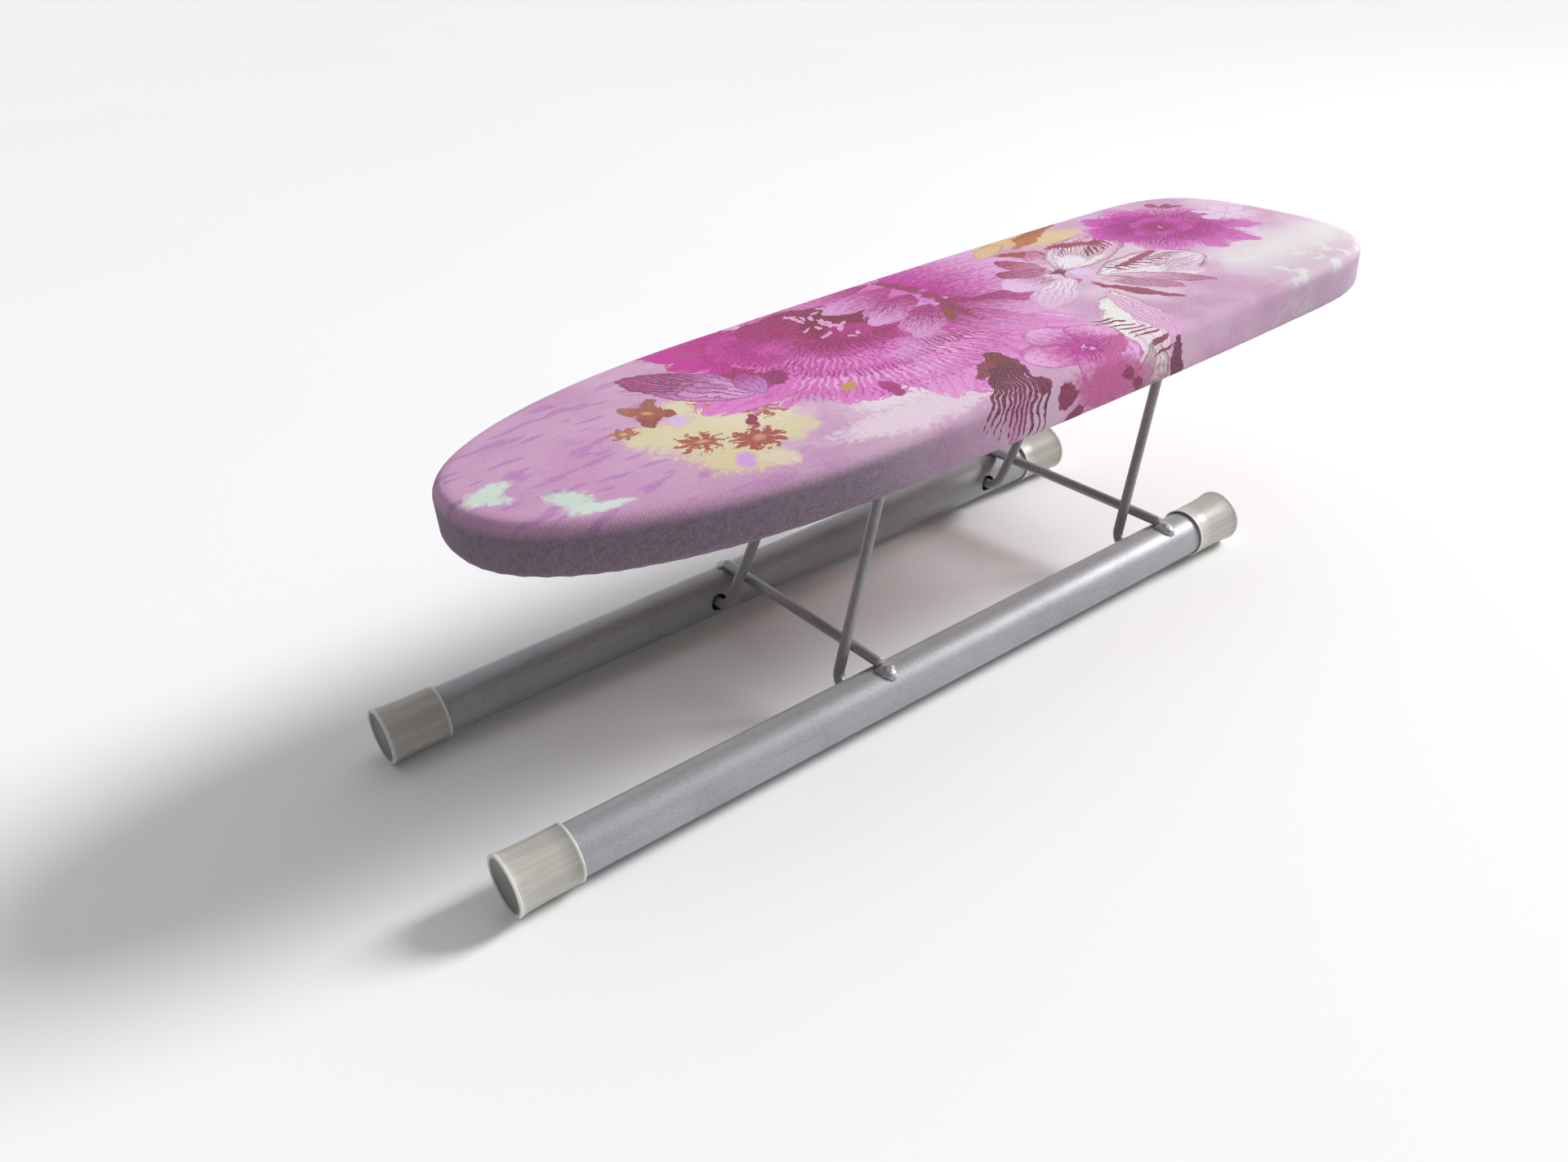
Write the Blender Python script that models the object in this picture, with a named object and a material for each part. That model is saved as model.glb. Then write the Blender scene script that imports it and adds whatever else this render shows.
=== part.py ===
"""Sleeve ironing board: a padded, covered deck on two folding wire legs over a two-tube base.

Metres, +Z up, nose towards -X. The origin is the bottom centre of the whole object's box.
"""

import math

import bmesh
import bpy
from mathutils import Matrix, Vector

# Overall sizes.
BOARD_LENGTH = 0.4862
BOARD_HEIGHT = 0.1371  # top of the cover above the floor
BOARD_HALF_WIDTH = 0.0782  # at the widest place, over the cover
BASE_LENGTH = 0.4080  # over the end caps

# Board outline, seen from above.
NOSE_LENGTH = 0.150
NOSE_FULLNESS = 2.34  # 2 is an ellipse, more is squarer
TAIL_LENGTH = 0.070
TAIL_FULLNESS = 3.17
WIDEST_AT = 0.533  # share of the length from the nose
SIDE_BOW = 0.41  # how fast the sides draw in from the widest place

# Board layers.
COVER_THICKNESS = 0.0008
FOAM_THICKNESS = 0.0111
DECK_THICKNESS = 0.0090
TOP_ROUND = 0.0070  # outer radius of the cover's upper edge
BOTTOM_ROUND = 0.0040
LIP_WIDTH = 0.0240  # how far the cover reaches in under the deck
HEM_DIAMETER = 0.0036  # gathered hem round its elastic

# Base.
TUBE_SPACING = 0.1192  # centre to centre
TUBE_DIAMETER = 0.0220
TUBE_WALL = 0.0012
CAP_LENGTH = 0.0280
CAP_WALL = 0.0017  # at its widest ring, which stands on the floor
CAP_RIM_WALL = 0.0012
CAP_END_WALL = 0.0035
CAP_TAPER_LENGTH = 0.0140
CAP_END_ROUND = 0.0022

# Wire frame.
WIRE_DIAMETER = 0.0050
LEG_LEAN = math.radians(26.6)  # past upright, towards the tail
LEG_SPACING = 0.1805
REAR_PIVOT_INSET = 0.0575  # from the tail end of the base
PIVOT_HOLE_DIAMETER = 0.0090
STUB_REACH = 0.0054  # leg foot inside the tube, past its inner side
LEG_FOOT_HALF_SPAN = 0.0422  # the leg's sides, carried down to the pivot axis
LEG_TOP_HALF_SPAN = 0.0276  # the same, carried up to the crossbar
LEG_FOOT_BEND = 0.0070  # centreline radii
LEG_TOP_BEND = 0.0080
TAIL_OVERHANG = 0.1163  # from the rear crossbar to the board's tail end
ROD_SINK = 0.0007  # how deep a cross rod is notched onto the tubes
ROD_END_INSET = 0.0010  # from a tube's centre line to the rod's end
BEAD_OFFSET = math.radians(17)  # round the tube, outwards from its top
BEAD_HALF_LENGTH = 0.0046  # along the tube
BEAD_HALF_WIDTH = 0.0060  # round the tube
BEAD_HEIGHT = 0.0034

# Saddle clips and their screws.
CLIP_WIDTH = 0.0080
CLIP_THICKNESS = 0.0010
CLIP_EAR = 0.0090
CLIP_OFFSET = 0.0130  # each side of the middle
SCREW_DIAMETER = 0.0030
SCREW_LENGTH = 0.0080
SCREW_HEAD_DIAMETER = 0.0056
SCREW_HEAD_HEIGHT = 0.0017
PILOT_EXTRA_DEPTH = 0.0005

# Fits and facets.
FIT_GAP = 0.0003
ROUND_SIDES = 32
WIRE_SIDES_RESOLUTION = 4
SMALL_SIDES = 12
NOSE_STEPS = 10
SIDE_STEPS = 6
TAIL_STEPS = 8
SHARP_ANGLE = math.radians(35)

# Worked out from the sizes above.
TUBE_RADIUS = TUBE_DIAMETER / 2
WIRE_RADIUS = WIRE_DIAMETER / 2
CAP_RADIUS = TUBE_RADIUS + FIT_GAP + CAP_WALL
TUBE_AXIS_Z = CAP_RADIUS * math.cos(math.pi / ROUND_SIDES)
TUBE_Y = TUBE_SPACING / 2
TUBE_INNER_SIDE_Y = TUBE_Y - TUBE_RADIUS
TUBE_LENGTH = BASE_LENGTH - 2 * (CAP_END_WALL + FIT_GAP)

FOAM_TOP_Z = BOARD_HEIGHT - COVER_THICKNESS - FIT_GAP
FOAM_BOTTOM_Z = FOAM_TOP_Z - FOAM_THICKNESS
DECK_TOP_Z = FOAM_BOTTOM_Z - FIT_GAP
DECK_BOTTOM_Z = DECK_TOP_Z - DECK_THICKNESS
COVER_BOTTOM_Z = DECK_BOTTOM_Z - FIT_GAP - COVER_THICKNESS
CROSSBAR_Z = DECK_BOTTOM_Z - FIT_GAP - WIRE_RADIUS
LEG_LENGTH = (CROSSBAR_Z - TUBE_AXIS_Z) / math.cos(LEG_LEAN)
LEG_RUN = LEG_LENGTH * math.sin(LEG_LEAN)

REAR_PIVOT_FROM_BASE = BASE_LENGTH / 2 - REAR_PIVOT_INSET
TAIL_FROM_BASE = REAR_PIVOT_FROM_BASE + LEG_RUN + TAIL_OVERHANG
NOSE_FROM_BASE = TAIL_FROM_BASE - BOARD_LENGTH
LOW_X = min(-BASE_LENGTH / 2, NOSE_FROM_BASE)
HIGH_X = max(BASE_LENGTH / 2, TAIL_FROM_BASE)
BASE_X = -(LOW_X + HIGH_X) / 2
NOSE_X = BASE_X + NOSE_FROM_BASE
REAR_PIVOT_X = BASE_X + REAR_PIVOT_FROM_BASE
FRONT_PIVOT_X = REAR_PIVOT_X - LEG_SPACING

ROD_Z = TUBE_AXIS_Z + TUBE_RADIUS + WIRE_RADIUS - ROD_SINK
ROD_FROM_PIVOT = (ROD_Z - TUBE_AXIS_Z) * math.tan(LEG_LEAN) + (WIRE_DIAMETER + FIT_GAP) / math.cos(LEG_LEAN)

SADDLE_RADIUS = WIRE_RADIUS + FIT_GAP
CLIP_OUTER_RADIUS = SADDLE_RADIUS + CLIP_THICKNESS
SCREW_FROM_CROSSBAR = CLIP_OUTER_RADIUS + CLIP_EAR / 2
EAR_BOTTOM_Z = CROSSBAR_Z + WIRE_RADIUS - CLIP_THICKNESS
SCREW_SHANK_Z = EAR_BOTTOM_Z - FIT_GAP  # under the head
SCREW_HOLE_RADIUS = SCREW_DIAMETER / 2 + FIT_GAP

LEGS = (("front", FRONT_PIVOT_X), ("rear", REAR_PIVOT_X))
SIDES = (("left", -1), ("right", 1))
SADDLES = tuple(
    (f"{leg}_{side}", pivot_x + LEG_RUN, sign * CLIP_OFFSET)
    for leg, pivot_x in LEGS
    for side, sign in SIDES
)
SCREWS = tuple(
    (f"{saddle}_{end}", x + step * SCREW_FROM_CROSSBAR, y)
    for saddle, x, y in SADDLES
    for end, step in (("nose_side", -1), ("tail_side", 1))
)


def make_material(name, colour, roughness, metallic=0.0):
    """A plain Principled material; colour is linear RGB."""
    material = bpy.data.materials.new(name)
    material.use_nodes = True
    shader = material.node_tree.nodes["Principled BSDF"]
    shader.inputs["Base Color"].default_value = (*colour, 1)
    shader.inputs["Roughness"].default_value = roughness
    shader.inputs["Metallic"].default_value = metallic
    return material


def add_object(name, data, material=None, parent=None):
    """Links a new object; under a parent, its mesh stays where it was drawn."""
    piece = bpy.data.objects.new(name, data)
    bpy.context.collection.objects.link(piece)
    if material:
        data.materials.append(material)
    if parent:
        piece.parent = parent
        piece.matrix_parent_inverse = Matrix.Translation(-parent.location)
    return piece


def finish_bmesh(bm, name):
    """Turns a bmesh into a mesh with its faces out and smooth, its corners sharp."""
    bmesh.ops.remove_doubles(bm, verts=bm.verts, dist=1e-6)
    bmesh.ops.recalc_face_normals(bm, faces=bm.faces)
    mesh = bpy.data.meshes.new(name)
    bm.to_mesh(mesh)
    bm.free()
    mesh.shade_smooth()
    mesh.set_sharp_from_angle(angle=SHARP_ANGLE)
    return mesh


def add_axis(name, x, z):
    """An empty on a joint's axis, which runs along Y."""
    axis = bpy.data.objects.new(name, None)
    axis.location = (x, 0, z)
    axis.empty_display_size = WIRE_DIAMETER
    bpy.context.collection.objects.link(axis)
    return axis


def cut(piece, cutter):
    """Takes the cutter away from the piece and hides it."""
    cutter.hide_render = True
    cutter.display_type = "WIRE"
    modifier = piece.modifiers.new(f"minus_{cutter.name}", "BOOLEAN")
    modifier.operation = "DIFFERENCE"
    modifier.object = cutter


def spin_profile(name, profile, closed, turn_to=Matrix.Identity(4), sides=ROUND_SIDES):
    """Turns (along, radius) points about X, with a flat facet facing straight down."""
    bm = bmesh.new()
    half_facet = Matrix.Rotation(math.pi / sides, 4, "X")
    ring = [bm.verts.new(half_facet @ Vector((along, 0, -radius))) for along, radius in profile]
    pairs = list(zip(ring, ring[1:]))
    if closed:
        pairs.append((ring[-1], ring[0]))
    edges = [bm.edges.new(pair) for pair in pairs]
    bmesh.ops.spin(
        bm,
        geom=ring + edges,
        cent=(0, 0, 0),
        axis=(1, 0, 0),
        angle=math.tau,
        steps=sides,
        use_merge=True,
    )
    bm.transform(turn_to)
    return finish_bmesh(bm, name)


def rod_along_y(name, x, z, y_from, y_to, radius, sides=ROUND_SIDES):
    """A plain round bar across the base, as a mesh."""
    bm = bmesh.new()
    turn = Matrix.Translation((x, (y_from + y_to) / 2, z)) @ Matrix.Rotation(math.pi / 2, 4, "X")
    bmesh.ops.create_cone(
        bm,
        cap_ends=True,
        segments=sides,
        radius1=radius,
        radius2=radius,
        depth=abs(y_to - y_from),
        matrix=turn,
    )
    return finish_bmesh(bm, name)


def post_along_z(name, x, y, z_from, z_to, radius):
    """A plain round bar standing up, as a mesh."""
    bm = bmesh.new()
    bmesh.ops.create_cone(
        bm,
        cap_ends=True,
        segments=SMALL_SIDES,
        radius1=radius,
        radius2=radius,
        depth=z_to - z_from,
        matrix=Matrix.Translation((x, y, (z_from + z_to) / 2)),
    )
    return finish_bmesh(bm, name)


def half_width(x_from_nose):
    """The bowed sides' distance from the middle, before the ends are rounded."""
    away = x_from_nose / BOARD_LENGTH - WIDEST_AT
    return BOARD_HALF_WIDTH * (1 - SIDE_BOW * away**2)


def board_side():
    """(x from the nose, half width) along one side, from nose tip to tail tip."""
    points = []
    for step in range(NOSE_STEPS + 1):
        turn = math.pi / 2 * step / NOSE_STEPS
        x = NOSE_LENGTH * (1 - abs(math.cos(turn)) ** (2 / NOSE_FULLNESS))
        points.append((x, half_width(x) * math.sin(turn) ** (2 / NOSE_FULLNESS)))
    straight = BOARD_LENGTH - NOSE_LENGTH - TAIL_LENGTH
    for step in range(1, SIDE_STEPS):
        x = NOSE_LENGTH + straight * step / SIDE_STEPS
        points.append((x, half_width(x)))
    for step in range(TAIL_STEPS + 1):
        turn = math.pi / 2 * step / TAIL_STEPS
        x = BOARD_LENGTH - TAIL_LENGTH * (1 - math.sin(turn) ** (2 / TAIL_FULLNESS))
        points.append((x, half_width(x) * abs(math.cos(turn)) ** (2 / TAIL_FULLNESS)))
    return points


def board_outline(inset):
    """The closed outline over the cover, drawn in by inset, anticlockwise from the nose tip."""
    side = board_side()
    low = [Vector((NOSE_X + x, -width)) for x, width in side]
    high = [Vector((NOSE_X + x, width)) for x, width in side[-2:0:-1]]
    points = low + high
    moved = []
    for here, before, after in zip(points, points[-1:] + points, points[1:] + points[:1]):
        first = (here - before).normalized()
        second = (after - here).normalized()
        inward = Vector((-first.y - second.y, first.x + second.x)).normalized()
        lean = inward.dot(Vector((-first.y, first.x)))
        moved.append(here + inward * inset / lean)
    return moved


def plank(inset, bottom, top, top_round, bottom_round):
    """A bmesh slab of the board's outline, its upper and lower edges rounded."""
    bm = bmesh.new()
    floor = bm.faces.new([bm.verts.new((point.x, point.y, bottom)) for point in board_outline(inset)])
    raised = bmesh.ops.extrude_face_region(bm, geom=[floor])["geom"]
    new_verts = [item for item in raised if isinstance(item, bmesh.types.BMVert)]
    bmesh.ops.translate(bm, verts=new_verts, vec=(0, 0, top - bottom))
    for level, radius, segments in ((top, top_round, 4), (bottom, bottom_round, 3)):
        if radius:
            rim = [edge for edge in bm.edges if all(abs(v.co.z - level) < 1e-6 for v in edge.verts)]
            bmesh.ops.bevel(
                bm,
                geom=rim,
                offset=radius,
                segments=segments,
                profile=0.5,
                affect="EDGES",
                material=-1,
            )
    bmesh.ops.recalc_face_normals(bm, faces=bm.faces)
    return bm


def add_base_tubes(paint):
    """Two open steel tubes, each with two holes in its inner side for the legs' feet."""
    profile = [
        (-TUBE_LENGTH / 2, TUBE_RADIUS),
        (TUBE_LENGTH / 2, TUBE_RADIUS),
        (TUBE_LENGTH / 2, TUBE_RADIUS - TUBE_WALL),
        (-TUBE_LENGTH / 2, TUBE_RADIUS - TUBE_WALL),
    ]
    for side, sign in SIDES:
        place = Matrix.Translation((BASE_X, sign * TUBE_Y, TUBE_AXIS_Z))
        tube = add_object(f"base_tube_{side}", spin_profile(f"base_tube_{side}", profile, True, place), paint)
        for leg, pivot_x in LEGS:
            name = f"cutter_hole_{leg}_{side}"
            reach = (sign * (TUBE_INNER_SIDE_Y - TUBE_WALL), sign * TUBE_Y)
            hole = rod_along_y(name, pivot_x, TUBE_AXIS_Z, *reach, PIVOT_HOLE_DIAMETER / 2, SMALL_SIDES)
            cut(tube, add_object(name, hole))


def cap_profile():
    """An end cap from the bottom of its bore, out round its rim and back to its end."""
    bore = TUBE_RADIUS + FIT_GAP
    depth = CAP_LENGTH - CAP_END_WALL
    points = [(depth, 0), (depth, bore), (0, bore), (0, bore + CAP_RIM_WALL)]
    points.append((CAP_TAPER_LENGTH, CAP_RADIUS))
    for step in range(4):
        turn = math.pi / 2 * step / 3
        along = CAP_LENGTH - CAP_END_ROUND * (1 - math.sin(turn))
        points.append((along, CAP_RADIUS - CAP_END_ROUND * (1 - math.cos(turn))))
    points.append((CAP_LENGTH, 0))
    return points


def add_end_caps(plastic):
    """Four cups pushed over the tube ends; the base stands on their widest rings."""
    for leg, end in (("front", -1), ("rear", 1)):
        for side, sign in SIDES:
            mouth_x = BASE_X + end * (BASE_LENGTH / 2 - CAP_LENGTH)
            place = Matrix.Translation((mouth_x, sign * TUBE_Y, TUBE_AXIS_Z))
            facing = Matrix.Scale(end, 4, (1, 0, 0))
            name = f"end_cap_{leg}_{side}"
            add_object(name, spin_profile(name, cap_profile(), False, place @ facing), plastic)


def add_tube_cutter(side, sign):
    """The space that a tube needs, for what is welded onto it."""
    name = f"cutter_tube_{side}"
    half = TUBE_LENGTH / 2
    profile = [(-half, 0), (-half, TUBE_RADIUS + FIT_GAP), (half, TUBE_RADIUS + FIT_GAP), (half, 0)]
    place = Matrix.Translation((BASE_X, sign * TUBE_Y, TUBE_AXIS_Z))
    return add_object(name, spin_profile(name, profile, False, place))


def add_cross_rods(paint):
    """Two rods on top of the tubes: they tie the base together and stop the legs."""
    cutters = [add_tube_cutter(side, sign) for side, sign in SIDES]
    reach = TUBE_Y - ROD_END_INSET
    for leg, pivot_x in LEGS:
        name = f"cross_rod_{leg}"
        rod_x = pivot_x + ROD_FROM_PIVOT
        rod = add_object(name, rod_along_y(name, rod_x, ROD_Z, -reach, reach, WIRE_RADIUS, SMALL_SIDES), paint)
        name = f"cutter_rod_{leg}"
        space = rod_along_y(name, rod_x, ROD_Z, -reach - FIT_GAP, reach + FIT_GAP, SADDLE_RADIUS, SMALL_SIDES)
        rod_cutter = add_object(name, space)
        rod_cutter.hide_render = True
        for (side, sign), tube_cutter in zip(SIDES, cutters):
            cut(rod, tube_cutter)
            add_weld_bead(f"weld_bead_{leg}_{side}", rod_x, sign, (tube_cutter, rod_cutter), paint)


def add_weld_bead(name, rod_x, sign, cutters, paint):
    """A low mound of weld at a rod's end, on the tube's upper outer side."""
    bm = bmesh.new()
    bmesh.ops.create_uvsphere(bm, u_segments=12, v_segments=8, radius=1)
    size = Matrix.Diagonal((BEAD_HALF_LENGTH, BEAD_HALF_WIDTH, BEAD_HEIGHT, 1))
    on_tube = Matrix.Translation((0, 0, TUBE_RADIUS))
    tilt = Matrix.Rotation(-sign * BEAD_OFFSET, 4, "X")
    place = Matrix.Translation((rod_x, sign * TUBE_Y, TUBE_AXIS_Z))
    bm.transform(place @ tilt @ on_tube @ size)
    bead = add_object(name, finish_bmesh(bm, name), paint)
    for cutter in cutters:
        cut(bead, cutter)


def rounded_path(corners, radii, steps):
    """The points of a bent wire: straight runs joined by arcs of the given radii."""
    points = [corners[0]]
    for before, corner, after, radius in zip(corners, corners[1:], corners[2:], radii):
        towards = (before - corner).normalized()
        onwards = (after - corner).normalized()
        half_angle = towards.angle(onwards) / 2
        centre = corner + (towards + onwards).normalized() * radius / math.sin(half_angle)
        start = corner + towards * radius / math.tan(half_angle) - centre
        turn = towards.cross(onwards).normalized()
        sweep = math.pi - 2 * half_angle
        for step in range(steps + 1):
            points.append(centre + Matrix.Rotation(-sweep * step / steps, 3, turn) @ start)
    points.append(corners[-1])
    return points


def wire_curve(name, points, radius, resolution, closed=False):
    """A round wire through the points, as a curve with a bevel."""
    curve = bpy.data.curves.new(name, "CURVE")
    curve.dimensions = "3D"
    curve.bevel_depth = radius
    curve.bevel_resolution = resolution
    curve.use_fill_caps = not closed
    spline = curve.splines.new("POLY")
    spline.points.add(len(points) - 1)
    for target, point in zip(spline.points, points):
        target.co = (*point, 1)
    spline.use_cyclic_u = closed
    return curve


def add_leg(leg, axis, paint):
    """One wire bent to a U: feet in the tubes' holes, a crossbar on top."""
    foot_end = TUBE_INNER_SIDE_Y + STUB_REACH
    half = [(foot_end, 0), (LEG_FOOT_HALF_SPAN, 0), (LEG_TOP_HALF_SPAN, LEG_LENGTH)]
    corners = [Vector((0, -y, z)) for y, z in half] + [Vector((0, y, z)) for y, z in half[::-1]]
    radii = (LEG_FOOT_BEND, LEG_TOP_BEND, LEG_TOP_BEND, LEG_FOOT_BEND)
    path = rounded_path(corners, radii, 6)
    piece = add_object(f"leg_{leg}", wire_curve(f"leg_{leg}", path, WIRE_RADIUS, WIRE_SIDES_RESOLUTION), paint)
    piece.parent = axis
    piece.rotation_euler = (0, LEG_LEAN, 0)


def add_deck(wood, axis):
    """The stiff board, with a pilot hole for each clip screw."""
    inset = COVER_THICKNESS + FIT_GAP
    bm = plank(inset, DECK_BOTTOM_Z, DECK_TOP_Z, 0, BOTTOM_ROUND - inset)
    deck = add_object("deck", finish_bmesh(bm, "deck"), wood, axis)
    hole_top = SCREW_SHANK_Z + SCREW_LENGTH + PILOT_EXTRA_DEPTH
    for screw, x, y in SCREWS:
        name = f"cutter_pilot_{screw}"
        hole = post_along_z(name, x, y, DECK_BOTTOM_Z - FIT_GAP, hole_top, SCREW_HOLE_RADIUS)
        cut(deck, add_object(name, hole, None, axis))


def add_foam(foam, axis):
    """The pad between deck and cover."""
    inset = COVER_THICKNESS + FIT_GAP
    bm = plank(inset, FOAM_BOTTOM_Z, FOAM_TOP_Z, TOP_ROUND - inset, 0)
    add_object("foam_pad", finish_bmesh(bm, "foam_pad"), foam, axis)


def add_cover(fabric, axis):
    """The cloth cover, open underneath, with a lip that reaches in below the deck."""
    bm = plank(0, COVER_BOTTOM_Z, BOARD_HEIGHT, TOP_ROUND, BOTTOM_ROUND)
    floor = min(bm.faces, key=lambda face: face.calc_center_median().z)
    bmesh.ops.inset_region(bm, faces=[floor], thickness=LIP_WIDTH - BOTTOM_ROUND, use_even_offset=True)
    bmesh.ops.delete(bm, geom=[floor], context="FACES")
    cover = add_object("cover", finish_bmesh(bm, "cover"), fabric, axis)
    wall = cover.modifiers.new("cloth_thickness", "SOLIDIFY")
    wall.thickness = COVER_THICKNESS
    wall.offset = -1
    wall.use_even_offset = True


def add_hem(elastic, axis):
    """The elastic in the hem, a closed loop along the lip's inner edge."""
    radius = HEM_DIAMETER / 2
    hem_z = DECK_BOTTOM_Z - FIT_GAP - radius
    path = [(point.x, point.y, hem_z) for point in board_outline(LIP_WIDTH + FIT_GAP + radius)]
    add_object("hem_elastic", wire_curve("hem_elastic", path, radius, 1, closed=True), elastic, axis)


def clip_profile():
    """(x, z) about the crossbar's centre: two ears and a half-round saddle below it."""
    ear_end = CLIP_OUTER_RADIUS + CLIP_EAR
    ear_top = WIRE_RADIUS
    ear_bottom = WIRE_RADIUS - CLIP_THICKNESS
    arc = [math.pi * step / 8 for step in range(9)]
    inner = [(-SADDLE_RADIUS * math.cos(turn), -SADDLE_RADIUS * math.sin(turn)) for turn in arc]
    outer = [(CLIP_OUTER_RADIUS * math.cos(turn), -CLIP_OUTER_RADIUS * math.sin(turn)) for turn in arc]
    return [
        (-ear_end, ear_top),
        (-SADDLE_RADIUS, ear_top),
        *inner,
        (SADDLE_RADIUS, ear_top),
        (ear_end, ear_top),
        (ear_end, ear_bottom),
        (CLIP_OUTER_RADIUS, ear_bottom),
        *outer,
        (-CLIP_OUTER_RADIUS, ear_bottom),
        (-ear_end, ear_bottom),
    ]


def add_saddle_clips(zinc, axis):
    """Pressed straps that hold the legs' crossbars up against the deck."""
    for saddle, x, y in SADDLES:
        bm = bmesh.new()
        near = y - CLIP_WIDTH / 2
        face = bm.faces.new([bm.verts.new((x + dx, near, CROSSBAR_Z + dz)) for dx, dz in clip_profile()])
        wide = bmesh.ops.extrude_face_region(bm, geom=[face])["geom"]
        new_verts = [item for item in wide if isinstance(item, bmesh.types.BMVert)]
        bmesh.ops.translate(bm, verts=new_verts, vec=(0, CLIP_WIDTH, 0))
        clip = add_object(f"saddle_clip_{saddle}", finish_bmesh(bm, f"saddle_clip_{saddle}"), zinc, axis)
        for step in (-1, 1):
            name = f"cutter_clip_{saddle}_{step + 1}"
            hole_x = x + step * SCREW_FROM_CROSSBAR
            hole = post_along_z(
                name, hole_x, y, EAR_BOTTOM_Z - FIT_GAP, DECK_BOTTOM_Z, SCREW_HOLE_RADIUS
            )
            cut(clip, add_object(name, hole, None, axis))


def add_screws(zinc, axis):
    """Pan-head wood screws, driven up through the clips' ears into the deck."""
    head_radius = SCREW_HEAD_DIAMETER / 2
    shank_radius = SCREW_DIAMETER / 2
    profile = [(-SCREW_HEAD_HEIGHT, 0), (-SCREW_HEAD_HEIGHT, head_radius * 0.6)]
    profile += [(-SCREW_HEAD_HEIGHT * 0.6, head_radius), (0, head_radius), (0, shank_radius)]
    profile += [(SCREW_LENGTH - shank_radius, shank_radius), (SCREW_LENGTH, 0)]
    for screw, x, y in SCREWS:
        place = Matrix.Translation((x, y, SCREW_SHANK_Z)) @ Matrix.Rotation(-math.pi / 2, 4, "Y")
        name = f"clip_screw_{screw}"
        add_object(name, spin_profile(name, profile, False, place, SMALL_SIDES), zinc, axis)


def build():
    """Clears the scene and makes every piece."""
    for old in list(bpy.data.objects):
        bpy.data.objects.remove(old)
    tube_paint = make_material("tube_paint", (0.40, 0.41, 0.43), 0.35, 0.4)
    wire_paint = make_material("wire_paint", (0.21, 0.21, 0.22), 0.4, 0.4)
    cap_plastic = make_material("cap_plastic", (0.62, 0.60, 0.55), 0.45)
    printed_cotton = make_material("printed_cotton", (0.77, 0.50, 0.68), 0.85)
    elastic = make_material("elastic", (0.80, 0.78, 0.76), 0.8)
    pad_foam = make_material("pad_foam", (0.85, 0.80, 0.62), 0.95)
    deck_wood = make_material("deck_wood", (0.42, 0.27, 0.14), 0.7)
    zinc_plate = make_material("zinc_plate", (0.60, 0.61, 0.62), 0.35, 1.0)

    add_base_tubes(tube_paint)
    add_end_caps(cap_plastic)
    add_cross_rods(wire_paint)
    for leg, pivot_x in LEGS:
        add_leg(leg, add_axis(f"{leg}_leg_axis", pivot_x, TUBE_AXIS_Z), wire_paint)
    board_axis = add_axis("board_axis", FRONT_PIVOT_X + LEG_RUN, CROSSBAR_Z)
    add_deck(deck_wood, board_axis)
    add_foam(pad_foam, board_axis)
    add_cover(printed_cotton, board_axis)
    add_hem(elastic, board_axis)
    add_saddle_clips(zinc_plate, board_axis)
    add_screws(zinc_plate, board_axis)


build()
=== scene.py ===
"""Sleeve ironing board: the printed cotton cover, painted wire frame and end caps, round the CAD frame.

Lengths are metres, except in the print, which is drawn in millimetres of flat cloth.
"""

import math
import random

import bmesh
import bpy
from mathutils import Matrix, Vector, noise


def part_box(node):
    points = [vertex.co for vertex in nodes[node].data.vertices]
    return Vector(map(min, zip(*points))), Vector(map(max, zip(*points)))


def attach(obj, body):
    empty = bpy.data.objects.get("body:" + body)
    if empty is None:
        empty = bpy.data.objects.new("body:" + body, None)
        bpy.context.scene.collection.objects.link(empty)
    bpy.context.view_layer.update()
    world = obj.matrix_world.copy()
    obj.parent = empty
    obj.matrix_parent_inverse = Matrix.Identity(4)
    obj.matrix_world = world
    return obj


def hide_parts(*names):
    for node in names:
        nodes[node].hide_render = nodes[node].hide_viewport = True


MM = 0.001

# Board outline, as the deck is cut.
NOSE_LENGTH = 150 * MM
NOSE_FULLNESS = 2.34
TAIL_LENGTH = 70 * MM
TAIL_FULLNESS = 3.17
WIDEST_AT = 0.533
SIDE_BOW = 0.41
OUTLINE_STEPS = (110, 130, 76)  # nose, side and tail points on each side

# Cover.
CLOTH = 0.8 * MM
CROWN = 1.0 * MM  # how far the pad lifts the middle of the top
TOP_ROUND = 5.2 * MM
BOTTOM_ROUND = 4 * MM
SIDE_BULGE = 0.4 * MM
LIP_END = 22 * MM  # inset where the lip runs into the rolled hem
HEM_INSET = 26.1 * MM
HEM_RADIUS = 1.8 * MM
PLEAT_DEPTH = 1.7 * MM
TOP_PLATEAU = 32 * MM  # inset of the innermost ring
GRID = 7 * MM  # spacing of the cuts inside it
# Painted shade: the cloth's side is painted darker below this height.
SHADED_SIDE_TOP = 136 * MM  # height above the floor below which the cloth is darker
SIDE_SHADE_FADE = 6 * MM

# Frame.
TUBE_RADIUS = 11 * MM
TUBE_WALL = 1.2 * MM
HOLE_RADIUS = 4.5 * MM
WIRE_RADIUS = 2.5 * MM
LEG_FOOT_HALF_SPAN = 42.2 * MM
LEG_TOP_HALF_SPAN = 27.6 * MM
LEG_FOOT_BEND = 7 * MM
LEG_TOP_BEND = 8 * MM
CAP_BORE = 11.3 * MM
CAP_END_WALL = 3.5 * MM
CAP_LENGTH = 28 * MM
SCREW_HEAD = 1.7 * MM

# Studio.
FILL = (0.12, 0.72)  # surround, from the nose's near side to the tail's far side
BRIGHT_SIDE = (0.8, 0.5, 0.3)
SUN = 3.2
SUN_FROM = (0.8, -0.19, 0.52)
PANEL = 3
PANEL_PLACE = (1.1, -0.3, 0.85)

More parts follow.
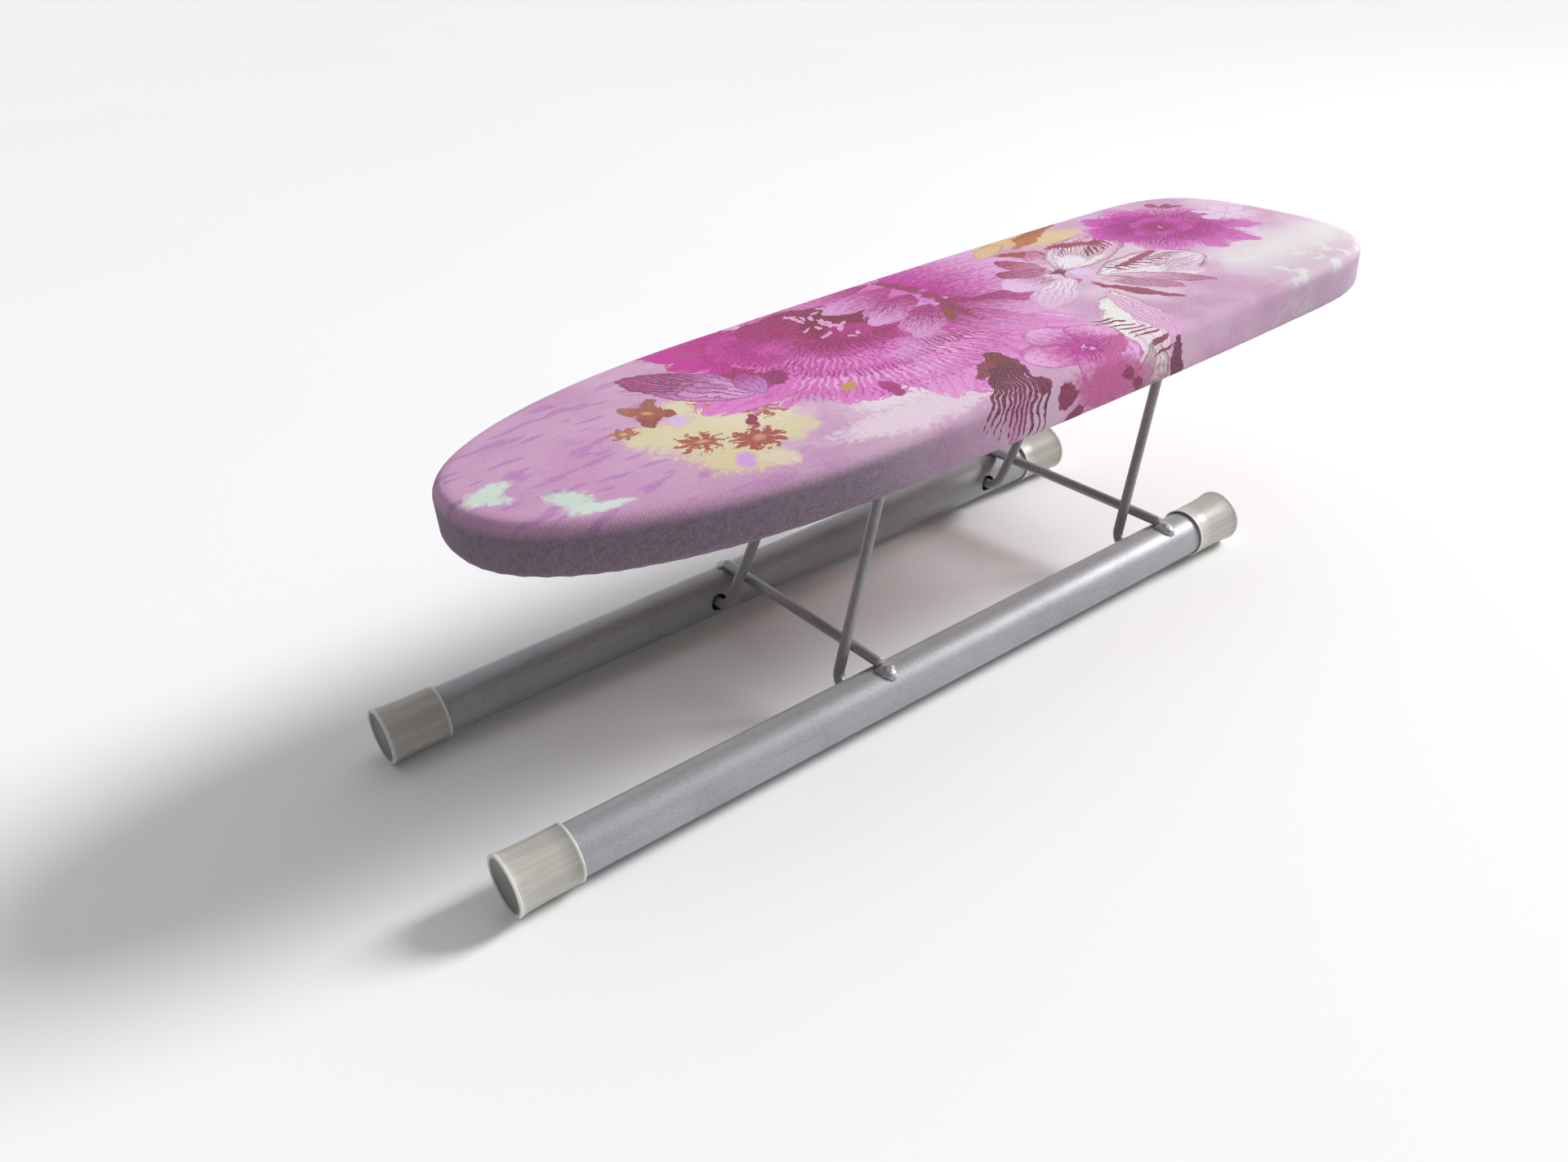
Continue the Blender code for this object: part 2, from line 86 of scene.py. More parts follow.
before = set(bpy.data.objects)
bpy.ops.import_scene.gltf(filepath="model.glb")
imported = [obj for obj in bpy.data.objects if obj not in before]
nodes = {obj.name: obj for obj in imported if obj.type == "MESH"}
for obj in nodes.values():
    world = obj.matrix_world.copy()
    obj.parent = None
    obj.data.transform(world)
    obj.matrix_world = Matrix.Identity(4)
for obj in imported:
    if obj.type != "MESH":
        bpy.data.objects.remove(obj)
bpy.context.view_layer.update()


def linear(code):
    """A six-digit sRGB hex colour as linear RGBA."""
    channels = [int(code[place : place + 2], 16) / 255 for place in (0, 2, 4)]
    return (*[c / 12.92 if c <= 0.04045 else ((c + 0.055) / 1.055) ** 2.4 for c in channels], 1)


def add_node(tree, kind, wires=(), **settings):
    """A node with its settings; each input gets a value, an output, or a node whose output it takes."""
    made = tree.nodes.new(kind if kind.startswith("NodeGroup") else "ShaderNode" + kind)
    for name, value in settings.items():
        setattr(made, name, value)
    for place, value in dict(wires).items():
        if isinstance(value, bpy.types.Node):
            value = next(output for output in value.outputs if output.enabled)
        if isinstance(value, bpy.types.NodeSocket):
            tree.links.new(value, made.inputs[place])
        else:
            made.inputs[place].default_value = value
    return made


def start_material(name, sockets):
    """A material with a Principled shader; returns the material, its tree and the shader."""
    material = bpy.data.materials.new(name)
    material.use_nodes = True
    tree = material.node_tree
    shader = tree.nodes["Principled BSDF"]
    for place, value in sockets.items():
        shader.inputs[place].default_value = value
    return material, tree, shader


def wire_up(tree, shader, wires):
    """Links a material's last nodes to its shader."""
    for place, value in wires.items():
        output = next(output for output in value.outputs if output.enabled)
        tree.links.new(output, shader.inputs[place])


# ---------------------------------------------------------------- view


def add_camera():
    """A camera above the near side of the nose, tipped a little to one side."""
    yaw, pitch, roll = math.radians(34.22), math.radians(30.79), math.radians(-4.91)
    forward = Vector((math.sin(yaw) * math.cos(pitch), math.cos(yaw) * math.cos(pitch), -math.sin(pitch)))
    level = Vector((math.cos(yaw), -math.sin(yaw), 0))
    up = level.cross(forward)
    right = level * math.cos(roll) + up * math.sin(roll)
    top = up * math.cos(roll) - level * math.sin(roll)
    data = bpy.data.cameras.new("camera")
    data.lens = 30.02
    data.sensor_width = 36
    data.clip_start = 0.01
    camera = bpy.data.objects.new("camera", data)
    place = Matrix.Translation((-0.3673, -0.4184, 0.3457))
    camera.matrix_world = place @ Matrix((right, top, -forward)).transposed().to_4x4()
    bpy.context.scene.collection.objects.link(camera)
    bpy.context.scene.camera = camera


def add_studio():
    """A pale floor, a soft surround and two soft lights from above the tail's near side."""
    bm = bmesh.new()
    bmesh.ops.create_grid(bm, size=12)
    floor = new_piece("studio_floor", bm)
    paint, tree, shader = start_material("studio_white", {"Roughness": 0.9, "Specular IOR Level": 0.2})
    place = add_node(tree, "TexCoord").outputs["Object"]
    speck = add_node(tree, "TexNoise", {"Vector": place, "Scale": 3.0})
    tone = add_node(tree, "Mix", {0: speck, 6: linear("F8F8F8"), 7: linear("FBFBFB")}, data_type="RGBA")
    wire_up(tree, shader, {"Base Color": tone})
    floor.data.materials.append(paint)
    world = bpy.data.worlds.new("studio")
    world.use_nodes = True
    tree = world.node_tree
    way = add_node(tree, "TexCoord").outputs["Generated"]
    facing = add_node(tree, "VectorMath", {0: way, 1: BRIGHT_SIDE}, operation="DOT_PRODUCT").outputs["Value"]
    strength = add_node(tree, "MapRange", {0: facing, 1: -0.7, 2: 0.8, 3: FILL[0], 4: FILL[1]})
    tree.nodes["Background"].inputs["Color"].default_value = linear("FBFBFF")
    tree.links.new(strength.outputs[0], tree.nodes["Background"].inputs["Strength"])
    bpy.context.scene.world = world
    bpy.context.scene.view_settings.view_transform = "Standard"
    sun = bpy.data.lights.new("sun", "SUN")
    sun.energy = SUN
    sun.angle = math.radians(18)
    panel = bpy.data.lights.new("panel", "AREA")
    panel.energy = PANEL
    panel.size = 0.5
    for light, place in ((sun, SUN_FROM), (panel, PANEL_PLACE)):
        lamp = bpy.data.objects.new(light.name, light)
        lamp.location = place
        lamp.rotation_euler = (Vector(place) - Vector((0, 0, 0.08))).to_track_quat("Z", "Y").to_euler()
        bpy.context.scene.collection.objects.link(lamp)


# ---------------------------------------------------------------- mesh helpers


def new_piece(name, bm):
    """The bmesh as a smooth-shaded object at the origin."""
    mesh = bpy.data.meshes.new(name)
    bm.to_mesh(mesh)
    bm.free()
    mesh.shade_smooth()
    piece = bpy.data.objects.new(name, mesh)
    bpy.context.scene.collection.objects.link(piece)
    return piece


def spun(profile, segments, close_loop=False):
    """A bmesh of (along, radius) points turned about X, faces out."""
    bm = bmesh.new()
    ring = [bm.verts.new((along, 0, -radius)) for along, radius in profile]
    pairs = list(zip(ring, ring[1:])) + ([(ring[-1], ring[0])] if close_loop else [])
    edges = [bm.edges.new(pair) for pair in pairs]
    bmesh.ops.spin(
        bm, geom=ring + edges, cent=(0, 0, 0), axis=(1, 0, 0), angle=math.tau, steps=segments, use_merge=True
    )
    bmesh.ops.remove_doubles(bm, verts=bm.verts, dist=1e-6)
    bmesh.ops.recalc_face_normals(bm, faces=bm.faces)
    return bm


def keep_edges_crisp(piece, degrees):
    piece.data.set_sharp_from_angle(angle=math.radians(degrees))


# ---------------------------------------------------------------- cover


def board_half_width(along, length, widest):
    away = along / length - WIDEST_AT
    return widest * (1 - SIDE_BOW * away**2)


def board_outline(low, high):
    """Closed (point, inward) pairs round the board's outline, from the nose tip."""
    length, widest = high.x - low.x, (high.y - low.y) / 2
    nose_steps, side_steps, tail_steps = OUTLINE_STEPS
    side = []
    for step in range(nose_steps + 1):
        turn = math.pi / 2 * step / nose_steps
        along = NOSE_LENGTH * (1 - abs(math.cos(turn)) ** (2 / NOSE_FULLNESS))
        side.append((along, board_half_width(along, length, widest) * math.sin(turn) ** (2 / NOSE_FULLNESS)))
    straight = length - NOSE_LENGTH - TAIL_LENGTH
    for step in range(1, side_steps):
        along = NOSE_LENGTH + straight * step / side_steps
        side.append((along, board_half_width(along, length, widest)))
    for step in range(tail_steps + 1):
        turn = math.pi / 2 * step / tail_steps
        along = length - TAIL_LENGTH * (1 - math.sin(turn) ** (2 / TAIL_FULLNESS))
        width = board_half_width(along, length, widest) * abs(math.cos(turn)) ** (2 / TAIL_FULLNESS)
        side.append((along, width))
    points = [Vector((low.x + along, -width)) for along, width in side]
    points += [Vector((low.x + along, width)) for along, width in side[-2:0:-1]]
    pairs = []
    for here, before, after in zip(points, points[-1:] + points, points[1:] + points[:1]):
        tangent = (here - before).normalized() + (after - here).normalized()
        pairs.append((here, Vector((-tangent.y, tangent.x)).normalized()))
    return pairs


def cover_profile(bottom, top):
    """(inset, height, pleat share) from the top's innermost ring, out and down, round the hem."""
    rings = []
    for inset, lift in ((32, 1.0), (26, 0.92), (20, 0.72), (15, 0.45), (11, 0.2), (7.4, 0.04)):
        rings.append((inset * MM, top + lift * CROWN, 0))
    for step in range(1, 7):
        turn = math.pi / 2 * step / 6
        bulge = SIDE_BULGE * (step / 6) ** 2
        rings.append((TOP_ROUND * (1 - math.sin(turn)) - bulge, top - TOP_ROUND * (1 - math.cos(turn)), 0))
    straight_top, straight_bottom = top - TOP_ROUND, bottom + BOTTOM_ROUND
    for share, pleat in ((0.33, 0.0), (0.66, 0.05), (1.0, 0.12)):
        rings.append((-SIDE_BULGE, straight_top + (straight_bottom - straight_top) * share, pleat))
    for step in range(1, 5):
        turn = math.pi / 2 * step / 4
        inset = BOTTOM_ROUND * (1 - math.cos(turn)) - SIDE_BULGE * (1 - step / 4)
        rings.append((inset, bottom + BOTTOM_ROUND * (1 - math.sin(turn)), 0.12 + 0.1 * step))
    for share in (0.17, 0.34, 0.5, 0.66, 0.83, 1.0):
        rings.append((BOTTOM_ROUND + (LIP_END - BOTTOM_ROUND) * share, bottom, 0.55 + 0.45 * share))
    return rings


def pleat_wave(distance, curl):
    """How far the gathered cloth stands out here, 0 to 1: tight pleats where the edge curves."""
    drift = 2.1 * math.sin(distance / (37 * MM)) + 1.4 * math.sin(distance / (17 * MM) + 1)
    fine = 0.5 + 0.5 * math.sin(math.tau * distance / (8.6 * MM) + drift)
    broad = 0.5 + 0.5 * math.sin(math.tau * distance / (23 * MM) + 0.7 * drift)
    uneven = 0.65 + 0.35 * noise.noise(Vector((distance / (15 * MM), 3, 0)))
    return (fine**1.6 * curl + broad * (1 - curl) * 0.35) * uneven


def ring_tools(outline):
    """For each outline point: its distance round the edge, and how strongly the edge curves."""
    distances, curls, travelled = [], [], 0
    count = len(outline)
    for index, (point, inward) in enumerate(outline):
        ahead = outline[(index + 1) % count]
        distances.append(travelled)
        travelled += (ahead[0] - point).length
        onward = outline[(index + 6) % count]
        bend = inward.angle(onward[1]) / (onward[0] - point).length
        curls.append(min(1, max(0.12, bend / 12)))
    smooth = [sum(curls[(i + k) % count] for k in range(-15, 16)) / 31 for i in range(count)]
    return distances, smooth


def add_ring(bm, flat, outline, heights, insets, reach):
    """One ring of vertices; flat remembers where each lies on the cloth before it is bent."""
    ring = []
    for (point, inward), height, inset in zip(outline, heights, insets):
        place = point + inward * inset
        vert = bm.verts.new((place.x, place.y, height))
        flat[vert] = point + inward * reach
        ring.append(vert)
    return ring


def bridge(bm, first, second):
    for a, b, c, d in zip(first, second, second[1:] + second[:1], first[1:] + first[:1]):
        bm.faces.new((a, b, c, d))


def make_cover():
    """The cotton cover drawn over the pad, its hem gathered round elastic under the deck."""
    low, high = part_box("cover")
    outline = board_outline(low, high)
    distances, curls = ring_tools(outline)
    waves = [pleat_wave(distance, curl) for distance, curl in zip(distances, curls)]
    bm = bmesh.new()
    flat = {}
    rings = []
    travelled, last = 0, None
    for inset, height, pleat in cover_profile(low.z, high.z):
        if last:
            travelled += math.hypot(inset - last[0], height - last[1])
        last = (inset, height)
        heights = [height - PLEAT_DEPTH * pleat * wave for wave in waves]
        insets = [inset + 0.5 * MM * pleat * wave for wave in waves]
        rings.append(add_ring(bm, flat, outline, heights, insets, TOP_PLATEAU - travelled))
    hem_low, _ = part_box("hem_elastic")
    hem_z = hem_low.z + HEM_RADIUS
    for step in range(10):
        turn = math.radians(150 + 30 * step)
        radii = [HEM_RADIUS * (0.72 + 0.28 * wave) for wave in waves]
        heights = [hem_z + radius * math.sin(turn) for radius in radii]
        insets = [HEM_INSET + radius * math.cos(turn) for radius in radii]
        travelled += HEM_RADIUS * math.radians(30)
        rings.append(add_ring(bm, flat, outline, heights, insets, TOP_PLATEAU - travelled))
    for first, second in zip(rings, rings[1:]):
        bridge(bm, first, second)
    bm.faces.new(rings[0])
    cut_plateau(bm, rings[0])
    lay_print_map(bm, flat, low)
    bmesh.ops.recalc_face_normals(bm, faces=bm.faces)
    if max(bm.faces, key=lambda face: face.calc_center_median().z).normal.z < 0:
        bmesh.ops.reverse_faces(bm, faces=bm.faces)
    cover = new_piece("cotton_cover", bm)
    wall = cover.modifiers.new("cloth_thickness", "SOLIDIFY")
    wall.thickness = CLOTH
    wall.offset = -1
    return cover


def lies_level(face, height):
    return all(abs(vert.co.z - height) < 1e-5 for vert in face.verts)


def cut_plateau(bm, rim):
    """Cuts the flat middle of the top into a grid, so that it can be crowned."""
    xs = [vert.co.x for vert in rim]
    ys = [vert.co.y for vert in rim]
    for values, normal in ((xs, (1, 0, 0)), (ys, (0, 1, 0))):
        place = min(values) + GRID
        while place < max(values) - GRID / 2:
            plateau = [face for face in bm.faces if face.normal.z != 0 and lies_level(face, rim[0].co.z)]
            edges = {edge for face in plateau for edge in face.edges}
            verts = {vert for face in plateau for vert in face.verts}
            geom = plateau + list(edges) + list(verts)
            centre = Vector(normal) * place
            bmesh.ops.bisect_plane(bm, geom=geom, dist=1e-6, plane_co=centre, plane_no=normal)
            place += GRID


def lay_print_map(bm, flat, low):
    """A UV map of the cloth laid flat: metres from the nose tip, and from the middle line."""
    layer = bm.loops.layers.uv.new("print_map")
    for face in bm.faces:
        for loop in face.loops:
            laid = flat.get(loop.vert, loop.vert.co)
            loop[layer].uv = (laid.x - low.x, laid.y)


# ---------------------------------------------------------------- print


def print_group(name, colours, numbers):
    """A group that paints one shape of ink over the cloth; returns its tree and its inputs.

    Foot is where the shape starts, Along and Aside run the length and half the width of it.
    """
    tree = bpy.data.node_groups.new(name, "ShaderNodeTree")
    kinds = {"Under": "Color", "Print": "Vector", "Grain": "Float"}
    kinds.update(dict.fromkeys(("Foot", "Along", "Aside"), "Vector"))
    kinds.update(dict.fromkeys(colours, "Color"))
    kinds.update(dict.fromkeys(numbers, "Float"))
    for socket, kind in kinds.items():
        tree.interface.new_socket(socket, in_out="INPUT", socket_type="NodeSocket" + kind)
    tree.interface.new_socket("Colour", in_out="OUTPUT", socket_type="NodeSocketColor")
    return tree, add_node(tree, "NodeGroupInput").outputs


def steps_along(tree, given):
    """How far a place on the cloth lies along and aside of the shape, in shares of its size.

    A millionth of the colour below is added, so that the shapes are worked out one after another.
    """
    waits = {0: given["Under"], 1: (1e-6, 1e-6, 1e-6), 2: given["Print"]}
    place = add_node(tree, "VectorMath", waits, operation="MULTIPLY_ADD")
    away = add_node(tree, "VectorMath", {0: place, 1: given["Foot"]}, operation="SUBTRACT")
    along = add_node(tree, "VectorMath", {0: away, 1: given["Along"]}, operation="DOT_PRODUCT")
    aside = add_node(tree, "VectorMath", {0: away, 1: given["Aside"]}, operation="DOT_PRODUCT")
    return along, aside


def petal_group():
    """One brush-painted petal: full towards the tip, frayed there, with fine lines and an inked edge."""
    numbers = ("Bend", "Fullness", "Ragged", "Lines", "Edge", "Soft")
    tree, given = print_group("painted_petal", ("Root", "Tip", "Ink"), numbers)
    run, aside = steps_along(tree, given)
    along = add_node(tree, "Math", {0: run, 1: 0.0}, operation="ADD", use_clamp=True)
    square = add_node(tree, "Math", {0: along, 1: along}, operation="MULTIPLY")
    aside = add_node(tree, "Math", {0: square, 1: given["Bend"], 2: aside}, operation="MULTIPLY_ADD")
    eased = add_node(tree, "Math", {0: along, 1: given["Fullness"]}, operation="POWER")
    eased_square = add_node(tree, "Math", {0: eased, 1: eased}, operation="MULTIPLY")
    swell = add_node(tree, "Math", {0: eased, 1: eased_square}, operation="SUBTRACT")
    swell = add_node(tree, "Math", {0: swell, 1: 0.62}, operation="POWER")
    half = add_node(tree, "Math", {0: swell, 1: 2.36}, operation="MULTIPLY")
    spread = add_node(tree, "Math", {0: half, 1: 0.14}, operation="ADD")
    fan = add_node(tree, "Math", {0: aside, 1: spread}, operation="DIVIDE")
    wander = add_node(tree, "Math", {0: given["Grain"], 1: 5.0}, operation="MULTIPLY")
    sway = add_node(tree, "Math", {0: fan, 1: 21.0, 2: wander}, operation="MULTIPLY_ADD")
    stroke = add_node(tree, "Math", {0: sway}, operation="SINE")
    fray = add_node(tree, "Math", {0: square, 1: given["Ragged"]}, operation="MULTIPLY")
    notch = add_node(tree, "Math", {0: stroke, 1: -0.5, 2: -0.5}, operation="MULTIPLY_ADD")
    kept = add_node(tree, "Math", {0: fray, 1: notch, 2: 1.0}, operation="MULTIPLY_ADD")
    room = add_node(tree, "Math", {0: half, 1: kept}, operation="MULTIPLY")
    off = add_node(tree, "Math", {0: aside}, operation="ABSOLUTE")
    margin = add_node(tree, "Math", {0: room, 1: off}, operation="SUBTRACT")
    smooth = {"interpolation_type": "SMOOTHSTEP"}
    mask = add_node(tree, "MapRange", {0: margin, 1: 0.0, 2: given["Soft"]}, **smooth)
    tinted = add_node(tree, "Math", {0: given["Grain"], 1: 0.9, 2: along}, operation="MULTIPLY_ADD")
    share = add_node(tree, "MapRange", {0: tinted, 1: 0.5, 2: 1.4}, **smooth)
    colour = add_node(tree, "Mix", {0: share, 6: given["Root"], 7: given["Tip"]}, data_type="RGBA")
    lines = add_node(tree, "MapRange", {0: stroke, 1: 0.35, 2: 1.0, 4: given["Lines"]}, **smooth)
    fade = add_node(tree, "Math", {0: along, 1: -0.8, 2: 1.0}, operation="MULTIPLY_ADD")
    lines = add_node(tree, "Math", {0: lines, 1: fade}, operation="MULTIPLY")
    rim = add_node(tree, "MapRange", {0: margin, 1: 0.0, 2: 0.26, 3: given["Edge"], 4: 0.0}, **smooth)
    inked = add_node(tree, "Math", {0: lines, 1: rim}, operation="MAXIMUM")
    colour = add_node(tree, "Mix", {0: inked, 6: colour, 7: given["Ink"]}, data_type="RGBA")
    result = add_node(tree, "Mix", {0: mask, 6: given["Under"], 7: colour}, data_type="RGBA")
    add_node(tree, "NodeGroupOutput", {0: result})
    return tree


def dab_group():
    """One dab or stroke of a single ink, its edge broken by the cloth's grain."""
    tree, given = print_group("painted_dab", ("Ink",), ("Bend", "Soft"))
    along, aside = steps_along(tree, given)
    square = add_node(tree, "Math", {0: along, 1: along}, operation="MULTIPLY")
    aside = add_node(tree, "Math", {0: square, 1: given["Bend"], 2: aside}, operation="MULTIPLY_ADD")
    spread = add_node(tree, "Math", {0: aside, 1: aside, 2: square}, operation="MULTIPLY_ADD")
    rough = add_node(tree, "Math", {0: given["Grain"], 1: 1.5, 2: spread}, operation="MULTIPLY_ADD")
    mask = add_node(tree, "MapRange", {0: rough, 1: 1.75, 2: given["Soft"]}, interpolation_type="SMOOTHSTEP")
    result = add_node(tree, "Mix", {0: mask, 6: given["Under"], 7: given["Ink"]}, data_type="RGBA")
    add_node(tree, "NodeGroupOutput", {0: result})
    return tree


def fringe_group():
    """A fan of short tapering strokes round a foot, from an inner ring to the rim."""
    tree, given = print_group("painted_fringe", ("Ink",), ("Inner", "Count", "Sweep", "Strength"))
    along, aside = steps_along(tree, given)
    angle = add_node(tree, "Math", {0: aside, 1: along}, operation="ARCTAN2")
    square = add_node(tree, "Math", {0: along, 1: along}, operation="MULTIPLY")
    spread = add_node(tree, "Math", {0: aside, 1: aside, 2: square}, operation="MULTIPLY_ADD")
    away = add_node(tree, "Math", {0: spread}, operation="SQRT")
    sway = add_node(tree, "Math", {0: given["Grain"], 1: 1.6}, operation="MULTIPLY")
    phase = add_node(tree, "Math", {0: angle, 1: given["Count"], 2: sway}, operation="MULTIPLY_ADD")
    wave = add_node(tree, "Math", {0: phase}, operation="SINE")
    ruffle = add_node(tree, "Math", {0: given["Grain"], 1: 0.35, 2: away}, operation="MULTIPLY_ADD")
    reach = add_node(tree, "MapRange", {0: ruffle, 1: given["Inner"], 2: 1.15, 3: -0.9, 4: 1.1})
    margin = add_node(tree, "Math", {0: wave, 1: reach}, operation="SUBTRACT")
    smooth = {"interpolation_type": "SMOOTHSTEP"}
    mask = add_node(tree, "MapRange", {0: margin, 1: 0.0, 2: 0.7, 4: given["Strength"]}, **smooth)
    inside = add_node(tree, "Math", {0: given["Inner"], 1: 0.08}, operation="ADD")
    start = add_node(tree, "MapRange", {0: ruffle, 1: given["Inner"], 2: inside}, **smooth)
    off = add_node(tree, "Math", {0: angle}, operation="ABSOLUTE")
    edge = add_node(tree, "Math", {0: given["Sweep"], 1: 0.75}, operation="MULTIPLY")
    window = add_node(tree, "MapRange", {0: off, 1: given["Sweep"], 2: edge}, **smooth)
    mask = add_node(tree, "Math", {0: mask, 1: start}, operation="MULTIPLY")
    mask = add_node(tree, "Math", {0: mask, 1: window}, operation="MULTIPLY")
    result = add_node(tree, "Mix", {0: mask, 6: given["Under"], 7: given["Ink"]}, data_type="RGBA")
    add_node(tree, "NodeGroupOutput", {0: result})
    return tree


def floret_group():
    """A small spiky star of one ink with a lighter heart."""
    tree, given = print_group("painted_floret", ("Ink", "Heart"), ("Spikes",))
    along, aside = steps_along(tree, given)
    angle = add_node(tree, "Math", {0: aside, 1: along}, operation="ARCTAN2")
    sway = add_node(tree, "Math", {0: given["Grain"], 1: 6.0}, operation="MULTIPLY")
    turn = add_node(tree, "Math", {0: angle, 1: given["Spikes"], 2: sway}, operation="MULTIPLY_ADD")
    arms = add_node(tree, "Math", {0: turn}, operation="COSINE")
    arms = add_node(tree, "Math", {0: arms}, operation="ABSOLUTE")
    reach = add_node(tree, "Math", {0: arms, 1: 0.6, 2: 0.02}, operation="MULTIPLY_ADD")
    square = add_node(tree, "Math", {0: along, 1: along}, operation="MULTIPLY")
    spread = add_node(tree, "Math", {0: aside, 1: aside, 2: square}, operation="MULTIPLY_ADD")
    away = add_node(tree, "Math", {0: spread}, operation="SQRT")
    rough = add_node(tree, "Math", {0: given["Grain"], 1: 0.8, 2: reach}, operation="MULTIPLY_ADD")
    margin = add_node(tree, "Math", {0: rough, 1: away}, operation="SUBTRACT")
    smooth = {"interpolation_type": "SMOOTHSTEP"}
    mask = add_node(tree, "MapRange", {0: margin, 1: 0.0, 2: 0.12}, **smooth)
    share = add_node(tree, "MapRange", {0: away, 1: 0.05, 2: 0.3}, **smooth)
    colour = add_node(tree, "Mix", {0: share, 6: given["Heart"], 7: given["Ink"]}, data_type="RGBA")
    result = add_node(tree, "Mix", {0: mask, 6: given["Under"], 7: colour}, data_type="RGBA")
    add_node(tree, "NodeGroupOutput", {0: result})
    return tree


# How each brush paints: fullness, raggedness, fine lines, inked edge, softness.
PETAL_BRUSHES = {
    "petal": (1.25, 0.35, 0.75, 0.2, 0.08),
    "frilled": (1.5, 0.7, 0.85, 0.2, 0.1),
    "smooth": (1.15, 0.1, 0.65, 0.35, 0.1),
    "outlined": (1.15, 0.15, 0.6, 0.95, 0.08),
    "leaf": (0.85, 0.2, 0.95, 0.9, 0.08),
}
DAB_SOFTNESS = {"wash": 0.95, "solid": 1.5}


def headings(turn):
    """Unit vectors along a direction in degrees, and to the left of it."""
    out = Vector((math.cos(math.radians(turn)), math.sin(math.radians(turn)), 0))
    return out, Vector((-out.y, out.x, 0))


def petal(x, y, turn, length, width, brush, root, tip, ink="8A2F5C", bend=0.0):
    """One petal's settings: its foot, direction in degrees, size, brush and inks."""
    out, side = headings(turn)
    row = {"Foot": Vector((x, y, 0)), "Along": out / length, "Aside": side * (2 / width)}
    row.update(zip(("Fullness", "Ragged", "Lines", "Edge", "Soft"), PETAL_BRUSHES[brush]))
    row.update({"Root": linear(root), "Tip": linear(tip), "Ink": linear(ink), "Bend": -2 * bend})
    return ("petal", row)


def dab(x, y, turn, length, width, brush, ink, bend=0.0):
    """One dab's settings: where it starts, its direction in degrees, size, brush and ink."""
    out, side = headings(turn)
    row = {"Foot": Vector((x, y, 0)) + out * (length / 2)}
    row.update({"Along": out * (2 / length), "Aside": side * (2 / width)})
    row.update({"Soft": DAB_SOFTNESS[brush], "Ink": linear(ink), "Bend": -0.5 * bend})
    return ("dab", row)


def fringe(x, y, turn, length, width, inner, gap, sweep, ink, strength):
    """Strokes fanning from a foot: gap is their spacing at the rim, sweep half the fan's angle."""
    out, side = headings(turn)
    row = {"Foot": Vector((x, y, 0)), "Along": out / length, "Aside": side / width}
    row.update({"Inner": inner + 0.17, "Count": math.tau * width / gap, "Sweep": math.radians(sweep)})
    row.update({"Ink": linear(ink), "Strength": strength})
    return ("fringe", row)


def floret(x, y, radius, spikes, ink, heart, turn=0):
    """One floret's settings: its middle, size, half its number of spikes, inks and direction."""
    out, side = headings(turn)
    row = {"Foot": Vector((x, y, 0)), "Along": out / radius, "Aside": side / radius}
    row.update({"Spikes": spikes, "Ink": linear(ink), "Heart": linear(heart)})
    return ("floret", row)


def whorl(x, y, start, sweep, count, length, width, brush, root, tip, ink, spread=0.0, seed=0):
    """Petals in a fan round a centre, each a little different."""
    dice = random.Random(seed)
    rows = []
    for number in range(count):
        turn = start + sweep * number / max(1, count - 1) + dice.uniform(-5, 5)
        out = math.radians(turn)
        foot = (x + spread * math.cos(out), y + spread * math.sin(out))
        size = length * dice.uniform(0.86, 1.12), width * dice.uniform(0.85, 1.15)
        rows.append(petal(*foot, turn, *size, brush, root, tip, ink, dice.uniform(-0.25, 0.25)))
    return rows


